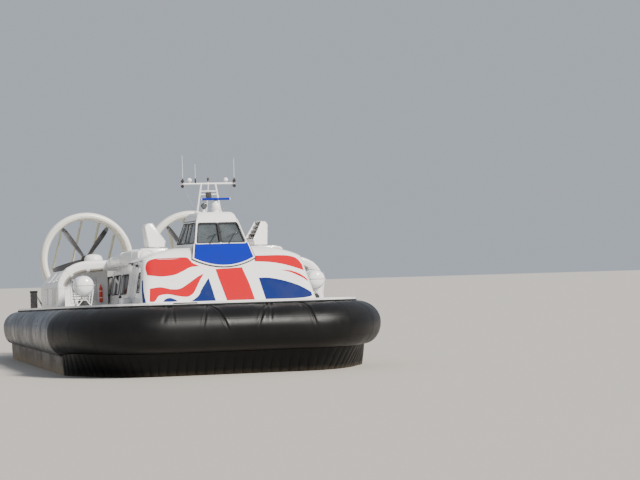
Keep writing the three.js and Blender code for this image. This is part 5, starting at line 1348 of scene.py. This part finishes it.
# %% Boards at the deck's edge: a dark panel with a black cap, rubbing strips and bolts
board = [block((5.055, 5.166, 0.02), (5.345, 5.1705, 0.74), 0.002, 0.01)]
board += [block((x - 0.02, 5.15, 0.04), (x + 0.02, 5.167, 0.72), 0.005, 0.008) for x in (5.1, 5.2, 5.3)]
pair("board_face", on_deck(board), dark, slot="grey_paint")
pair("board_cap", on_deck(block((5.035, 5.155, 0.73), (5.365, 5.245, 0.815), 0.012, 0.02)), seal)
heads = [rod((x, 5.168, z), (x, 5.155, z), 0.012, 6)
         for x in (5.075, 5.325) for z in deck_z(5.16) + (0.08, 0.3, 0.52, 0.68)]
pair("board_bolts", heads, alloy)

# %% Casing hatches on the deck behind the cabin, and skid shoes under the hull
casing = []
for y in (4.1, 5.2, 6.3):
    casing += [plate(rounded(1.6, 0.95, 0.08) + (0, y), 1.1505, 1.175, edge=0.008),
               *twice(rod((0.65, y - 0.06, 1.185), (0.65, y + 0.06, 1.185), 0.01, 8))]
piece("casing_hatches", on_deck(casing), shade_white)
piece("skid_shoes", twice(block((2.33, -6.9, 0.935), (2.87, 7.4, 0.951), 0.006, 0.05)), alloy, slot="hull")

# %% [markdown]
# ## Seats and helm
# Ten rows of three seats stand on each side of the aisle. Cushions are foam under cloth.
# Each is a superellipsoid, a box whose corners are
# rounded by one power, flattened and laid on the seat's frame.

# %% Cushions
def cushion(centre, size, lean=0.0, power=0.35):
    """Superellipsoid: cos and sin of two angles raised to a power, then leant about x."""
    up, ring = np.linspace(-np.pi / 2, np.pi / 2, 13)[:, None], superellipse(power, 28)
    level, high = powered(np.cos(up), power), powered(np.sin(up), power)
    c, s = math.cos(lean), math.sin(lean)
    points = xyz(level * ring[:, 0], level * ring[:, 1], high) * np.array(size) / 2
    return skin(points @ np.array([[1, 0, 0], [0, c, s], [0, -s, c]]) + np.array(centre))


frames, pads, backs = [], [], []
for y in -7.3 + 0.86 * np.arange(10):
    frames.append(block((0.44, y + 0.02, 0.1), (2.54, y + 0.34, 0.36), 0.02, 0.03))
    frames += [block((x - 0.03, y + 0.05, 0.012), (x + 0.03, y + 0.32, 0.12), 0.008, 0.01) for x in (0.6, 1.49, 2.38)]
    for x in (0.777, 1.49, 2.203):
        pads.append(cushion((x, y + 0.16, 0.41), (0.66, 0.42, 0.11)))
        backs.append(cushion((x, y + 0.44, 0.73), (0.64, 0.1, 0.56), lean=-0.21))
pair("seat_frames", on_deck(frames), grey, "seats", slot="seat_fabric")
for name, shapes in (("seat_cushions", pads), ("seat_backs", backs)):
    for padded in pair(name, on_deck(shapes), fabric, smooth=60):
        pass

# %% [markdown]
# ## Helm, and what a fitter adds on the roof
# Behind the windscreen stand a console with a row of screens, a wheel, and two crew seats
# on pedestals. Their cushions are foam pieces on a shell. Outside,
# the roof gets seam strips and grab rails, and the rear door and window get their frames.

# %% Helm console and crew seats
FLOOR = 2.09
desk = np.array([(-7.98, FLOOR), (-7.56, FLOOR), (-7.56, FLOOR + 0.33), (-7.95, FLOOR + 0.46)])
desk_top = wall_at((-1, 0, 0), (0, *(desk[3] - desk[2])), (0, *desk[2]))
console = [plate(soft_corners(desk, 0.05), -0.7, 0.7, centre_wall, 0.02),
           block((-0.7, -7.95, 2.071), (0.7, -6.25, FLOOR), 0.004, 0.08)]
piece("helm_desk", on_deck(console), grey, replaces=["helm_console"])
screens = [plate(rounded(0.34, 0.24, 0.02) + (x, 0.21), 0.001, 0.02, desk_top, 0.004) for x in (-0.46, 0, 0.46)]
piece("helm_screens", on_deck(screens), tinted)
PILLAR = mm(0, 0, 150, 0, 150, 20, 50, 50, 50, 280, 0, 280)
back_rest = (np.array([[1, 0, 0], [0, 0.32, 0.947], [0, -0.947, 0.32]]), np.array([0, -6.74, FLOOR + 0.63]))
shells, pads = [], []
for x in (-0.36, 0.36):
    shells += [plate(rounded(0.46, 0.44, 0.07) + (x, -6.98), FLOOR + 0.28, FLOOR + 0.32, edge=0.012),
               turned(PILLAR, (x, -6.99, FLOOR), sides=32),
               plate(rounded(0.44, 0.56, 0.09) + (x, 0), 0, 0.03, back_rest)]
    pads += [cushion((x, -6.99, FLOOR + 0.36), (0.44, 0.42, 0.1)),
             cushion((x, -6.8, FLOOR + 0.63), (0.4, 0.09, 0.52), -0.32)]
piece("helm_seat_shells", on_deck(shells), dark, slot="grey_paint")
piece("helm_cushions", on_deck(pads), fabric, smooth=60)
axle, turn = np.array([-0.36, -7.47, FLOOR + 0.42]), circle(32)
wheel = [tube(axle + xyz(0.17 * np.cos(turn), -0.06 * np.sin(turn), 0.155 * np.sin(turn)), 0.012, closed=True),
         rod(axle + (0, -0.15, -0.12), axle + (0, -0.005, 0), 0.018),
         rod(axle - (0.165, 0, 0), axle + (0.165, 0, 0), 0.01, 8)]
piece("helm_wheel", on_deck(wheel), dark, slot="grey_paint")

# %% Roof strips, grab rails, rear door and window frames
ROOF_HALF, RAIL_X, RAIL_Z = CABIN_HALF - LEAN * SHOULDER, 1.62, 2.16
roof_high = lambda x: np.interp(ROOF_HALF - np.abs(x), LEVELS[1], LEVELS[0])
x = np.linspace(-2.35, 2.35, 41)[:, None]
strips = [sandwich(*(xyz(x, y + np.array([-0.02, 0.02]), roof_high(x) + off) for off in (0.005, -0.006)))
          for y in (-4.2, -2.6, -1.0, 0.6, 1.7)]
piece("roof_strips", on_deck(strips), shade_white)
rails = [rod((RAIL_X, -4.0, RAIL_Z), (RAIL_X, 1.8, RAIL_Z), 0.018)]
for y in (-3.9, -2.5, -1.1, 0.3, 1.7):
    rails.append(rod((RAIL_X, y, roof_high(RAIL_X) - 0.01), (RAIL_X, y, RAIL_Z), 0.014, 10))
piece("roof_rails", on_deck(twice(*rails)), white)
door = rectangle(-0.45, 0.45, 0.1, 1.6)
rear_wall = wall_at((-1, 0, 0), (0, 0, 1), (0, REAR, 0))
hole = soft_corners(inset(door, 0.004), 0.03)
lip = plate(soft_corners(inset(door, -0.07), 0.08), 0.0005, 0.02, rear_wall, 0.005, hollow=hole)
piece("rear_door_frame", on_deck(lip), white)
house_rear = wall_at((-1, 0, 0), (0, -0.77, 1), (0, rear_line(HOUSE_Z), HOUSE_Z))
window = rectangle(-0.6, 0.6, *((np.array([4.765, 5.43]) - HOUSE_Z) * math.hypot(1, 0.77)))
piece("rear_pane_frame", pane_frame(window, house_rear, 0.03), seal)

# %% [markdown]
# ## Studio
# A plain pale floor and soft light. The photo's sun stands high on the port bow, so the
# key light comes from there, wide enough to give soft edges, and the world fills in.

# %% Floor and light
GROUND_HALF = 400
corners = rectangle(-GROUND_HALF, GROUND_HALF, -GROUND_HALF, GROUND_HALF)
floor_mesh = bpy.data.meshes.new("floor")
floor_mesh.from_pydata([(x, y, 0) for x, y in corners], [], [(0, 1, 2, 3)])
floor = bpy.data.objects.new("floor", floor_mesh)
bpy.context.scene.collection.objects.link(floor)
floor.location.z = -0.003
ground = finish("studio_floor", (0.44, 0.41, 0.37), 0.97, (0.7, 0.85), streak=0, patch=0.05, peel=2.0, bump=0.0005)
floor_mesh.materials.append(ground)

world = bpy.data.worlds.new("studio")
bpy.context.scene.world = world
world.use_nodes = True
background = world.node_tree.nodes["Background"]
background.inputs["Color"].default_value = (0.8, 0.88, 1.0, 1)
background.inputs["Strength"].default_value = 0.55
sun = bpy.data.objects.new("key_light", bpy.data.lights.new("key_light", "SUN"))
bpy.context.scene.collection.objects.link(sun)
sun.data.energy = 7.5
sun.data.angle = 0.25
sun.data.color = (1.0, 0.96, 0.9)
sun.rotation_euler = (math.radians(50), 0, math.radians(30))
